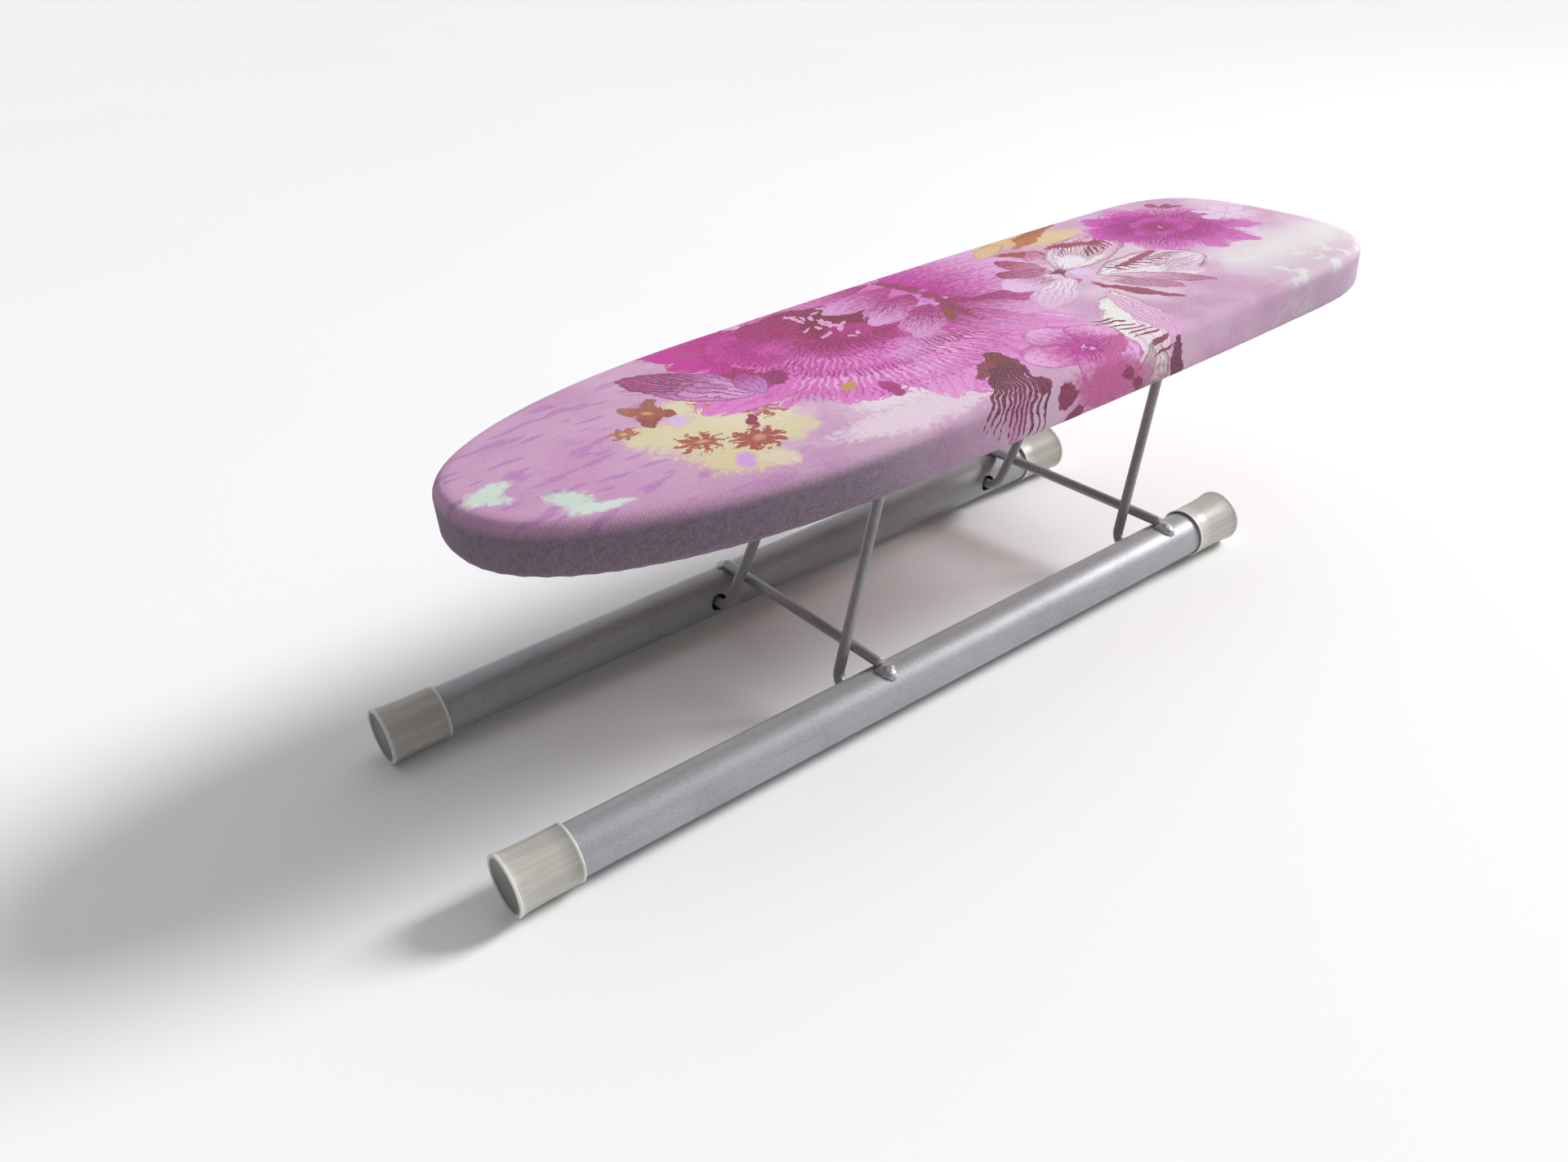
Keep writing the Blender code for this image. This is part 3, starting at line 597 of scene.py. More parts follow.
def print_rows():
    """The whole print, from the bottom ink to the top, in millimetres from the nose tip."""
    # Paler ground beside the peony.
    rows = [
        dab(122, -60, -4, 104, 26, "wash", "E4D0DC"),
        dab(150, -46, 2, 66, 26, "wash", "E8D8E2"),
    ]
    # Pale mint dabs at the nose.
    rows += [
        dab(2, -10, 20, 26, 13, "wash", "D8E6DA"),
        dab(8, 2, -60, 24, 10, "wash", "D3E2D6"),
        dab(30, -18, -68, 30, 14, "wash", "CFE0D2"),
        dab(26, -36, -24, 30, 10, "wash", "D6E4DA"),
    ]
    # Cream ground of the floret cluster.
    rows += [
        dab(70, -8, 0, 32, 30, "wash", "DCD0AA"),
        dab(92, 10, -10, 44, 24, "wash", "DFD5B4"),
        dab(112, 6, -75, 44, 30, "wash", "DED4B0"),
        dab(84, -28, -50, 44, 34, "wash", "DACDA4"),
        dab(112, -44, 20, 32, 26, "wash", "DDD2AA"),
        dab(106, -48, -70, 20, 13, "wash", "DDD2B8"),
        dab(70, -22, 6, 72, 46, "wash", "DDD3B2"),
        dab(104, 0, -40, 50, 34, "wash", "E0D7BA"),
        dab(96, -8, 60, 14, 9, "wash", "D9BCE0"),
        dab(96, -58, 70, 16, 11, "wash", "D2A4D8"),
    ]
    # Its brown florets.
    rows += [
        dab(95, 12, 62, 17, 9, "solid", "9C685A"),
        dab(94, 14, 118, 14, 8, "solid", "A47060"),
        dab(95, 14, -112, 15, 11, "solid", "94524A"),
        dab(96, 14, -60, 12, 8, "solid", "9C5A4C"),
        floret(95, 14, 9, 3.5, "A4634F", "D8A878"),
        floret(77, 2, 8, 3, "B07460", "D8B894", 20),
        floret(118, 4, 9, 4, "B07460", "DDB890", 50),
        floret(95, -26, 11, 4.5, "A86250", "D8A884", 10),
        floret(113, -38, 12, 4.5, "A45A52", "D49A7C", 30),
        floret(131, -17, 9, 3.5, "AC6E58", "D8AC84", 50),
        dab(120, -30, 78, 13, 5, "solid", "8E3F55"),
        dab(125, -16, 110, 10, 6, "solid", "A8664C"),
    ]
    rows += peony_rows()
    # Violet leaf that pokes out from under the peony.
    rows += [
        petal(137, -2, 118, 66, 30, "leaf", "DAA4D8", "A85086", "7A2A50", 0.1),
        fringe(140, -6, 120, 70, 44, 0.52, 3.2, 24, "74284A", 0.95),
        fringe(134, 6, 116, 34, 22, 0.1, 2.4, 34, "8A3868", 0.7),
        petal(140, -4, 76, 26, 14, "outlined", "C98BCF", "A8508E", "7A2A50"),
        dab(150, 0, 60, 16, 12, "solid", "8E3868"),
    ]
    rows += lily_rows() + iris_rows() + side_rows() + tail_rows()
    return rows


def peony_rows():
    """The big ruffled magenta flower, back petals first."""
    rows = [dab(204, 44, 8, 110, 66, "wash", "D27CBE"), dab(214, -10, 0, 76, 44, "wash", "DB94CE")]
    rows += whorl(206, 26, -78, -92, 6, 84, 50, "frilled", "C2509E", "DE8BCB", "B8438F", 8, 1)
    rows += whorl(236, 10, -120, 62, 4, 74, 46, "frilled", "CE66B0", "E3A0D6", "C0549E", 4, 2)
    rows += whorl(196, 38, 205, -58, 5, 72, 40, "frilled", "AE3078", "C74C9E", "94305E", 4, 3)
    rows += whorl(206, 34, -60, -120, 7, 60, 36, "frilled", "B23C88", "DC7CC4", "A0346E", 6, 4)
    rows += whorl(204, 42, 160, 62, 4, 50, 32, "petal", "A22F6A", "CB57A8", "8C2A54", 4, 5)
    rows += whorl(212, 40, 50, 70, 3, 40, 32, "petal", "A83872", "D77CC0", "92305E", 4, 6)
    rows += whorl(214, 30, -15, -80, 5, 44, 26, "petal", "B65A9C", "DFA0D6", "A2407E", 8, 7)
    rows += whorl(204, 34, -50, -130, 6, 42, 24, "frilled", "962C5C", "CE62AE", "7E2748", 4, 8)
    rows += [
        dab(196, 66, 200, 30, 16, "solid", "A23A72"),
        petal(222, 64, 190, 44, 22, "petal", "8E3050", "A83C74"),
        dab(194, 40, 0, 40, 42, "solid", "7C2A46"),
        petal(194, 28, -8, 30, 22, "outlined", "A23A72", "B34A84", "7C2A48"),
        fringe(206, 34, -88, 88, 88, 0.8, 3.2, 62, "A8408C", 0.6),
        fringe(206, 32, -100, 66, 60, 0.72, 3.0, 70, "962C70", 0.75),
        fringe(206, 34, -92, 80, 80, 0.7, 4.4, 58, "EFC8E6", 0.6),
        fringe(204, 34, -110, 56, 52, 0.6, 3.8, 60, "E6B0DC", 0.5),
        fringe(240, 22, -84, 50, 40, 0.62, 3.4, 52, "9A2F6C", 0.8),
        fringe(196, 40, 190, 66, 44, 0.45, 3.0, 60, "8E2660", 0.7),
        fringe(204, 38, -60, 46, 34, 0.55, 3.0, 110, "862454", 0.8),
        fringe(200, 40, 120, 40, 30, 0.4, 3.0, 80, "8A2A5C", 0.7),
    ]
    dice = random.Random(11)
    for number in range(20):
        x, y = 203 + dice.uniform(-4, 14), 40 + dice.uniform(-20, 24)
        rows.append(dab(x, y, dice.uniform(200, 320), 7, 2.6, "solid", "E0A6CE"))
    rows += [
        dab(164, -26, 20, 9, 6, "solid", "C79A5E"),
        dab(178, -48, 80, 18, 9, "solid", "A8447E"),
        dab(138, 62, -60, 14, 11, "solid", "B4508A"),
        dab(134, 24, -35, 22, 16, "solid", "A03A6C"),
    ]
    return rows


def lily_rows():
    """The long smooth petals that spread from a dark seam beside the peony."""
    return [
        petal(262, 64, 8, 70, 46, "smooth", "BC4C9C", "E4AEDC", "B4509E", -0.15),
        petal(264, 24, -36, 68, 30, "smooth", "9E386E", "C870A8", "8C3A56", 0.5),
        petal(258, 22, -62, 56, 26, "smooth", "AC4284", "E2AED8", "A0407E", 0.35),
        petal(254, 18, -80, 56, 28, "smooth", "A84080", "DC98CC", "983C78", 0.3),
        petal(262, 36, -20, 64, 28, "smooth", "B23A88", "E8B4E0", "A03C86", 0.25),
        petal(262, 54, -8, 72, 48, "smooth", "BC4498", "E6B2DE", "AC4496", -0.12),
        petal(262, 58, 190, 48, 26, "petal", "B8488C", "DFA6D8", "A23E78"),
        petal(262, 42, 205, 46, 24, "petal", "A83E7C", "DDA8D8", "A23E78"),
        petal(258, 26, 222, 44, 22, "petal", "AA4080", "DAA0D2", "9A3A70"),
        petal(258, 70, 178, 52, 16, "petal", "B04684", "D488C4"),
        fringe(262, 44, -2, 60, 34, 0.1, 3.0, 36, "A8348A", 0.6),
        fringe(264, 26, -40, 56, 30, 0.2, 2.6, 30, "94306A", 0.6),
        fringe(264, 50, 196, 50, 34, 0.18, 2.6, 40, "9A2C6E", 0.8),
        fringe(262, 30, 222, 46, 28, 0.3, 2.6, 34, "962C66", 0.7),
        dab(262, 78, -84, 46, 9, "wash", "963C64"),
        dab(268, 44, -100, 56, 9, "wash", "8E3C5C"),
        dab(312, 2, 28, 26, 9, "solid", "84404C"),
        dab(250, -2, 62, 26, 7, "wash", "8C4A44"),
    ]


def iris_rows():
    """The white iris with dark edged petals, and the tan flower behind it."""
    rows = [
        dab(322, 66, 4, 56, 26, "wash", "DDB98C"),
        dab(344, 58, -8, 50, 26, "wash", "E2C69C"),
        petal(320, 56, 30, 28, 14, "outlined", "E2C8A0", "DDBB90", "B07850"),
        dab(342, 54, 22, 44, 10, "solid", "B67A54"),
        dab(328, 52, -30, 24, 9, "solid", "A0564C"),
        dab(352, 66, 10, 40, 9, "solid", "AC6C4A"),
        petal(328, 8, 172, 34, 26, "smooth", "E6CBE4", "E2C2E0", "C490BE"),
        petal(326, 4, 214, 44, 22, "smooth", "ECDDEC", "E0BEDC", "A65A80"),
        petal(328, 14, 108, 34, 14, "outlined", "DDA8C8", "A24A62", "8C3A50", -0.3),
        petal(330, 14, 66, 36, 15, "outlined", "E8D2E4", "C47A9C", "8C3A50"),
        petal(326, 16, 142, 26, 15, "outlined", "D79CC2", "964058", "8C3A50"),
        petal(334, 10, 40, 58, 30, "outlined", "EEE6EE", "E0BEDA", "94455C", -0.2),
        petal(334, 12, 18, 64, 30, "outlined", "F0ECEE", "DDB4D4", "9A4A62", 0.15),
        dab(352, 44, -28, 34, 8, "solid", "9E5064"),
        dab(336, 14, 24, 42, 22, "wash", "EDE6EC"),
        petal(340, -4, -22, 60, 44, "outlined", "EFE8EC", "E8D4E6", "96485C", 0.1),
        dab(352, -4, 6, 36, 7, "solid", "A0566C", bend=-0.6),
        dab(344, -14, -34, 46, 24, "wash", "ECE2EA"),
        petal(342, -8, -52, 50, 13, "outlined", "E6C8DC", "B87898", "8C3E52", -0.3),
        petal(336, -8, -66, 42, 11, "outlined", "E6C8DC", "BC809E", "8C3E52"),
        dab(327, -10, -74, 50, 7, "solid", "9A5068", bend=0.8),
        dab(330, 6, -20, 16, 14, "wash", "E2C8E8"),
        fringe(336, 12, 30, 60, 36, 0.3, 3.0, 42, "8C3A58", 0.8),
        fringe(334, 8, 150, 36, 26, 0.35, 2.6, 60, "8A3450", 0.85),
        fringe(342, -8, -24, 58, 34, 0.45, 3.0, 32, "96486A", 0.7),
        fringe(336, -4, -70, 44, 24, 0.3, 2.6, 34, "8C3E58", 0.8),
    ]
    for number in range(9):
        x, y, turn = 368 + 3 * number, 30 + 1.5 * number, -128 + 5 * number
        rows.append(dab(x, y, turn, 17, 1.8, "solid", "8A4256", bend=0.3))
        x, y, turn = 350 + 4 * number, 2 - number, -70 + 4 * number
        rows.append(dab(x, y, turn, 15, 1.7, "solid", "92485C", bend=-0.3))
    # The closed bloom that hangs over the near edge.
    rows += [
        petal(326, -24, -122, 86, 30, "outlined", "F1EFEE", "E6D6E0", "9A5268", 0.15),
        dab(318, -28, -128, 62, 13, "wash", "ECEBE6"),
        petal(322, -22, -104, 70, 16, "petal", "E6C6DE", "DDAED2", "A4607C"),
        petal(294, -76, -92, 32, 24, "outlined", "EEE2E0", "8C5A70", "5E3048"),
        petal(292, -78, -100, 30, 8, "outlined", "D9C2C8", "7A4A60", "5E3048"),
        dab(308, -78, -84, 26, 9, "solid", "6E3450", bend=0.5),
    ]
    return rows


def side_rows():
    """What hangs down the near side: a pink bloom, dark berries and the brown grass."""
    rows = whorl(266, -64, 100, 288, 5, 28, 25, "outlined", "C45AA2", "E8B4DE", "AC4A8E", 2, 21)
    rows += [
        dab(236, -84, -8, 62, 30, "wash", "BC6694"),
        petal(258, -78, 24, 32, 12, "petal", "D07AAE", "C06A9C", "A8407A"),
    ]
    for number in range(8):
        x, y, turn = 300 + number, -52 - 4 * number, 150 + 6 * number
        rows.append(dab(x, y, turn, 15, 1.8, "solid", "8A4260", bend=0.3))
    rows += [
        fringe(266, -64, 30, 20, 18, 0.25, 2.8, 200, "A03680", 0.7),
        floret(267, -66, 6, 2.5, "A8468A", "E6B8DA"),
    ]
    berries = ((240, -86, 13), (245, -97, 10), (226, -76, 12), (278, -88, 9), (284, -94, 8), (262, -104, 8))
    for x, y, size in berries:
        rows.append(dab(x - size / 2, y, 8, size, size * 0.85, "solid", "843A58"))
    rows += [
        petal(234, -40, -118, 34, 15, "leaf", "7C4440", "8A4650", "6A3436", 0.2),
        dab(226, -46, -140, 20, 9, "solid", "8A4850"),
        dab(224, -56, -112, 50, 20, "wash", "BE86AC"),
    ]
    for number in range(11):
        x, y, turn = 232 - number, -46 - 0.6 * number, -97 - 3.4 * number
        rows.append(dab(x, y, turn, 56 - number, 1.8, "solid", "6A3244", bend=0.35))
    return rows


def tail_rows():
    """The second magenta bloom and the small flowers near the tail."""
    rows = whorl(420, 22, 20, 330, 10, 40, 30, "frilled", "AC3A88", "D88CC2", "982C74", 2, 31)
    rows += whorl(414, 30, 60, 150, 4, 30, 22, "petal", "AC3388", "CF66B8", "982C78", 4, 32)
    rows += whorl(424, 16, -40, -110, 4, 40, 17, "frilled", "B23C90", "D07CC2", "A03482", 2, 33)
    rows += [fringe(420, 22, 0, 40, 32, 0.45, 2.8, 200, "8A2466", 0.75)]
    rows += whorl(418, 24, 0, 300, 6, 17, 12, "petal", "9A2E70", "C85CB0", "8C2A64", 1, 34)
    rows += [
        dab(444, 44, 20, 14, 6, "solid", "96506A"),
        dab(444, 48, 60, 12, 7, "solid", "9A5068"),
        dab(446, 46, -30, 14, 6, "solid", "9A5270"),
    ]
    rows += whorl(461, 14, 0, 300, 6, 15, 11, "outlined", "E8D6E6", "E2C6E0", "B07A9A", 1, 35)
    return rows


def print_ground(tree, cloth, grain):
    """The cloth's pale ground: lilac clouds, violet dashes at the nose and mint patches at the tail, with
    painted shade along the near edge and down the sides.
    """
    smooth = {"interpolation_type": "SMOOTHSTEP"}
    spot = add_node(tree, "SeparateXYZ", {0: cloth}).outputs
    clouds = add_node(tree, "TexNoise", {"Vector": cloth, "Scale": 0.028, "Detail": 3.0})
    cloudy = add_node(tree, "MapRange", {0: clouds, 1: 0.38, 2: 0.66}, **smooth)
    colour = add_node(tree, "Mix", {0: cloudy, 6: linear("DDC2D4"), 7: linear("C796BA")}, data_type="RGBA")
    nose = add_node(tree, "MapRange", {0: spot[0], 1: 60.0, 2: 190.0, 3: 0.75, 4: 0.0}, **smooth)
    colour = add_node(tree, "Mix", {0: nose, 6: colour, 7: linear("C48EB5")}, data_type="RGBA")
    brushed = add_node(tree, "Mapping", {0: cloth, 2: (0, 0, -0.3), 3: (0.05, 0.16, 1)})
    dashes = add_node(tree, "TexNoise", {"Vector": brushed, "Scale": 1.0, "Detail": 1.0})
    dashes = add_node(tree, "MapRange", {0: dashes, 1: 0.56, 2: 0.63}, **smooth)
    dashes = add_node(tree, "Math", {0: dashes, 1: nose}, operation="MULTIPLY")
    colour = add_node(tree, "Mix", {0: dashes, 6: colour, 7: linear("B070B0")}, data_type="RGBA")
    tail = add_node(tree, "MapRange", {0: spot[0], 1: 372.0, 2: 410.0}, **smooth)
    near = add_node(tree, "MapRange", {0: spot[1], 1: -5.0, 2: -45.0}, **smooth)
    corner = add_node(tree, "Math", {0: tail, 1: near}, operation="MULTIPLY")
    colour = add_node(tree, "Mix", {0: corner, 6: colour, 7: linear("E4DEDE")}, data_type="RGBA")
    # Painted shade: the top is mixed towards a darker mauve near its near edge.
    edge = add_node(tree, "MapRange", {0: spot[1], 1: -40.0, 2: -72.0, 4: 0.5}, **smooth)
    colour = add_node(tree, "Mix", {0: edge, 6: colour, 7: linear("B386A8")}, data_type="RGBA")
    patches = add_node(tree, "TexNoise", {"Vector": cloth, "Scale": 0.085, "Detail": 2.0})
    patches = add_node(tree, "MapRange", {0: patches, 1: 0.53, 2: 0.62, 4: 0.8}, **smooth)
    patches = add_node(tree, "Math", {0: patches, 1: corner}, operation="MULTIPLY")
    colour = add_node(tree, "Mix", {0: patches, 6: colour, 7: linear("DDE4D8")}, data_type="RGBA")
    # Painted shade: the cloth is painted darker on its side than on top, most of all at the nose.
    place = add_node(tree, "TexCoord").outputs["Object"]
    place = add_node(tree, "SeparateXYZ", {0: place}).outputs
    low = add_node(tree, "MapRange", {0: place[2], 1: SHADED_SIDE_TOP, 2: SHADED_SIDE_TOP - SIDE_SHADE_FADE}, **smooth)
    front = add_node(tree, "MapRange", {0: spot[0], 1: 235.0, 2: 120.0, 4: 0.92}, **smooth)
    front = add_node(tree, "Math", {0: low, 1: front}, operation="MULTIPLY")
    colour = add_node(tree, "Mix", {0: front, 6: colour, 7: linear("4E424F")}, data_type="RGBA")
    back = add_node(tree, "MapRange", {0: spot[0], 1: 330.0, 2: 420.0, 4: 0.8}, **smooth)
    back = add_node(tree, "Math", {0: low, 1: back}, operation="MULTIPLY")
    colour = add_node(tree, "Mix", {0: back, 6: colour, 7: linear("A0809A")}, data_type="RGBA")
    speck = add_node(tree, "Math", {0: grain, 1: 0.18}, operation="MULTIPLY")
    return add_node(tree, "Mix", {0: speck, 6: colour, 7: linear("F0E0EC")}, data_type="RGBA")


def cotton_material():
    """Cotton twill, woven, roller-printed and calendered.

    It is matt with a faint sheen; fine ribs run across it on the slant and the ink's edges are soft.
    """
    material, tree, shader = start_material(
        "printed_cotton_twill",
        {"Roughness": 0.82, "Specular IOR Level": 0.25, "Sheen Weight": 0.08, "Sheen Roughness": 0.5},
    )
    laid = add_node(tree, "UVMap", uv_map="print_map")
    cloth = add_node(tree, "VectorMath", {0: laid, "Scale": 1 / MM}, operation="SCALE")
    wobble = add_node(tree, "TexNoise", {"Vector": cloth, "Scale": 0.09, "Detail": 3.0}).outputs["Color"]
    sway = {0: wobble, 1: (9, 9, 0), 2: (-4.5, -4.5, 0)}
    nudge = add_node(tree, "VectorMath", sway, operation="MULTIPLY_ADD")
    drawn = add_node(tree, "VectorMath", {0: nudge, 1: cloth}, operation="ADD")
    grain = add_node(tree, "TexNoise", {"Vector": cloth, "Scale": 0.33, "Detail": 3.0})
    colour = print_ground(tree, cloth, grain)
    groups = {"petal": petal_group(), "dab": dab_group(), "floret": floret_group(), "fringe": fringe_group()}
    for kind, row in print_rows():
        wires = {"Under": colour, "Print": drawn, "Grain": grain, **row}
        colour = add_node(tree, "Group", wires, node_tree=groups[kind])
    # Real ribs are about 0.5 mm apart; these are 1 mm, so that they show.
    slanted = add_node(tree, "Mapping", {0: cloth, 2: (0, 0, math.radians(50))})
    weave = {"Vector": slanted, "Scale": 0.314, "Distortion": 1.4, "Detail": 1.0, "Detail Scale": 3.0}
    ribs = add_node(tree, "TexWave", weave).outputs["Fac"]
    colour = add_node(tree, "HueSaturation", {"Saturation": 1.12, "Value": 0.95, "Color": colour})
    threads = add_node(tree, "TexNoise", {"Vector": cloth, "Scale": 0.9, "Detail": 2.0})
    threads = add_node(tree, "MapRange", {0: threads, 1: 0.35, 2: 0.7})
    # The ribs are painted paler where the thread noise is high.
    rib_paling = add_node(tree, "Math", {0: ribs, 1: threads}, operation="MULTIPLY")
    rib_paling = add_node(tree, "Math", {0: rib_paling, 1: 0.17}, operation="MULTIPLY")
    colour = add_node(tree, "Mix", {0: rib_paling, 6: colour, 7: linear("F6EAF2")}, data_type="RGBA")
    creases = add_node(tree, "TexNoise", {"Vector": cloth, "Scale": 0.06, "Detail": 2.0})
    height = add_node(tree, "Math", {0: creases, 1: 2.5, 2: ribs}, operation="MULTIPLY_ADD")
    bump = add_node(tree, "Bump", {"Height": height, "Distance": 0.08 * MM, "Strength": 0.7})
    wire_up(tree, shader, {"Base Color": colour, "Normal": bump})
    return material


# ---------------------------------------------------------------- hard finishes


def object_place(tree, scale=(1, 1, 1), turn=(0, 0, 0)):
    """Object coordinates, scaled and turned."""
    place = add_node(tree, "TexCoord").outputs["Object"]
    return add_node(tree, "Mapping", {0: place, 2: turn, 3: scale})


def silver_enamel(name, main, shade, metallic, roughness, drawn_out):
    """Silver spray enamel on steel: a fine flake, faint orange peel, cloudy tone and darker rubbed marks."""
    sockets = {"Metallic": metallic, "Coat Weight": 0.15, "Coat Roughness": 0.2}
    material, tree, shader = start_material(name, sockets)
    smooth = {"interpolation_type": "SMOOTHSTEP"}
    place = object_place(tree)
    clouds = add_node(tree, "TexNoise", {"Vector": place, "Scale": 1 / (28 * MM), "Detail": 4.0})
    shaded = add_node(tree, "MapRange", {0: clouds, 1: 0.35, 2: 0.75}, **smooth)
    colour = add_node(tree, "Mix", {0: shaded, 6: linear(main), 7: linear(shade)}, data_type="RGBA")
    # Real flakes are under 0.1 mm; these are 0.7 mm, so that they show.
    flake = add_node(tree, "TexVoronoi", {"Vector": place, "Scale": 1 / (0.7 * MM)}).outputs["Color"]
    flake = add_node(tree, "SeparateColor", {0: flake})
    glint = add_node(tree, "Math", {0: flake, 1: 0.1}, operation="MULTIPLY")
    colour = add_node(tree, "Mix", {0: glint, 6: colour, 7: linear("FFFFFF")}, data_type="RGBA")
    drawn = object_place(tree, (1 / (drawn_out * MM), 1 / (3 * MM), 1 / (3 * MM)))
    rubbed = add_node(tree, "TexNoise", {"Vector": drawn, "Scale": 1.0})
    rubbed = add_node(tree, "MapRange", {0: rubbed, 1: 0.62, 2: 0.75, 4: 0.16}, **smooth)
    colour = add_node(tree, "Mix", {0: rubbed, 6: colour, 7: linear("6E6A68")}, data_type="RGBA")
    rough = add_node(tree, "Math", {0: clouds, 1: 0.16, 2: roughness - 0.08}, operation="MULTIPLY_ADD")
    peel = add_node(tree, "TexNoise", {"Vector": place, "Scale": 1 / (1.6 * MM), "Detail": 2.0})
    bump = add_node(tree, "Bump", {"Height": peel, "Distance": 0.03 * MM, "Strength": 0.6})
    wire_up(tree, shader, {"Base Color": colour, "Roughness": rough, "Normal": bump})
    return material


def cap_plastic(middle, half, axis):
    """Polyethylene, moulded without pigment: waxy, slightly see-through, with drag lines along it.

    The caps end half a base from the middle, and axis is the tubes' distance to the side and up.
    """
    sockets = {"Subsurface Weight": 0.12, "Subsurface Scale": 2 * MM, "Subsurface Radius": (1, 0.85, 0.7)}
    material, tree, shader = start_material("moulded_polyethylene", {**sockets, "Specular IOR Level": 0.4})
    drawn = object_place(tree, (1 / (70 * MM), 1 / (2.2 * MM), 1 / (2.2 * MM)))
    lines = add_node(tree, "TexNoise", {"Vector": drawn, "Scale": 1.0, "Detail": 2.0})
    share = add_node(tree, "MapRange", {0: lines, 1: 0.36, 2: 0.68}, interpolation_type="SMOOTHSTEP")
    colour = add_node(tree, "Mix", {0: share, 6: linear("B4B2AB"), 7: linear("C4C2BC")}, data_type="RGBA")
    haze = add_node(tree, "TexNoise", {"Vector": object_place(tree), "Scale": 1 / (9 * MM)})
    haze = add_node(tree, "Math", {0: haze, 1: 0.35}, operation="MULTIPLY")
    colour = add_node(tree, "Mix", {0: haze, 6: colour, 7: linear("AEA898")}, data_type="RGBA")
    # The rims at the mouth and at the end are painted paler, a painted highlight, and the dished end is
    # painted darker, a painted shade.
    place = add_node(tree, "TexCoord").outputs["Object"]
    reach = add_node(tree, "SeparateXYZ", {0: place})
    reach = add_node(tree, "Math", {0: reach, 1: middle}, operation="SUBTRACT")
    reach = add_node(tree, "Math", {0: reach}, operation="ABSOLUTE")
    end = add_node(tree, "MapRange", {0: reach, 1: half - 1.7 * MM, 2: half - 1.2 * MM})
    lip = add_node(tree, "Math", {0: reach, 1: half - CAP_LENGTH + 0.6 * MM}, operation="SUBTRACT")
    lip = add_node(tree, "Math", {0: lip}, operation="ABSOLUTE")
    lip = add_node(tree, "MapRange", {0: lip, 1: 0.75 * MM, 2: 0.5 * MM})
    away = add_node(tree, "VectorMath", {0: place}, operation="ABSOLUTE")
    away = add_node(tree, "VectorMath", {0: away, 1: axis}, operation="SUBTRACT")
    away = add_node(tree, "VectorMath", {0: away, 1: (0, 1, 1)}, operation="MULTIPLY")
    away = add_node(tree, "VectorMath", {0: away}, operation="LENGTH").outputs["Value"]
    outer = add_node(tree, "MapRange", {0: away, 1: axis[2] - 1.9 * MM, 2: axis[2] - 1.3 * MM})
    # Painted highlight on the rims.
    pale = add_node(tree, "Math", {0: lip, 1: end}, operation="MAXIMUM")
    pale = add_node(tree, "Math", {0: pale, 1: outer}, operation="MULTIPLY")
    pale = add_node(tree, "Math", {0: pale, 1: 0.7}, operation="MULTIPLY")
    colour = add_node(tree, "Mix", {0: pale, 6: colour, 7: linear("EDECE8")}, data_type="RGBA")
    # Painted shade on the dished end face.
    dished = add_node(tree, "Math", {0: 1.0, 1: outer}, operation="SUBTRACT")
    end_face_shade = add_node(tree, "Math", {0: dished, 1: end}, operation="MULTIPLY")
    end_face_shade = add_node(tree, "Math", {0: end_face_shade, 1: 0.75}, operation="MULTIPLY")
    colour = add_node(tree, "Mix", {0: end_face_shade, 6: colour, 7: linear("5E5C5A")}, data_type="RGBA")
    rough = add_node(tree, "Math", {0: lines, 1: 0.2, 2: 0.3}, operation="MULTIPLY_ADD")
    bump = add_node(tree, "Bump", {"Height": lines, "Distance": 0.12 * MM, "Strength": 0.7})
    wire_up(tree, shader, {"Base Color": colour, "Roughness": rough, "Normal": bump})
    return material


def zinc_plate():
    """Steel, pressed and bright zinc plated: small crystals and faint rolling lines."""
    material, tree, shader = start_material("zinc_plated_steel", {"Metallic": 1.0})
    crystals = add_node(tree, "TexVoronoi", {"Vector": object_place(tree), "Scale": 1 / (1.1 * MM)})
    tone = add_node(tree, "SeparateColor", {0: crystals.outputs["Color"]})
    colour = add_node(tree, "Mix", {0: tone, 6: linear("B4B7BA"), 7: linear("D2D3D0")}, data_type="RGBA")
    drawn = object_place(tree, (1 / (0.4 * MM), 60, 60))
    rolled = add_node(tree, "TexNoise", {"Vector": drawn, "Scale": 1.0})
    rough = add_node(tree, "Math", {0: rolled, 1: 0.25, 2: 0.2}, operation="MULTIPLY_ADD")
    bump = add_node(tree, "Bump", {"Height": rolled, "Distance": 0.02 * MM})
    wire_up(tree, shader, {"Base Color": colour, "Roughness": rough, "Normal": bump})
    return material


def fibreboard():
    """Hardboard, pressed from wood fibre and cut: brown, with short fibres lying every way."""
    sockets = {"Roughness": 0.75, "Specular IOR Level": 0.3}
    material, tree, shader = start_material("pressed_fibreboard", sockets)
    strewn = object_place(tree, (1 / (6 * MM), 1 / (1.2 * MM), 1 / MM))
    fibres = add_node(tree, "TexNoise", {"Vector": strewn, "Scale": 1.0, "Detail": 6.0})
    share = add_node(tree, "MapRange", {0: fibres, 1: 0.35, 2: 0.7}, interpolation_type="SMOOTHSTEP")
    colour = add_node(tree, "Mix", {0: share, 6: linear("8B6544"), 7: linear("B28A60")}, data_type="RGBA")
    chips = add_node(tree, "TexVoronoi", {"Vector": object_place(tree), "Scale": 1 / (2.4 * MM)})
    chips = add_node(tree, "Math", {0: chips, 1: 0.5}, operation="MULTIPLY")
    colour = add_node(tree, "Mix", {0: chips, 6: colour, 7: linear("6E4C30")}, data_type="RGBA")
    bump = add_node(tree, "Bump", {"Height": fibres, "Distance": 0.12 * MM, "Strength": 0.7})
    wire_up(tree, shader, {"Base Color": colour, "Normal": bump})
    return material


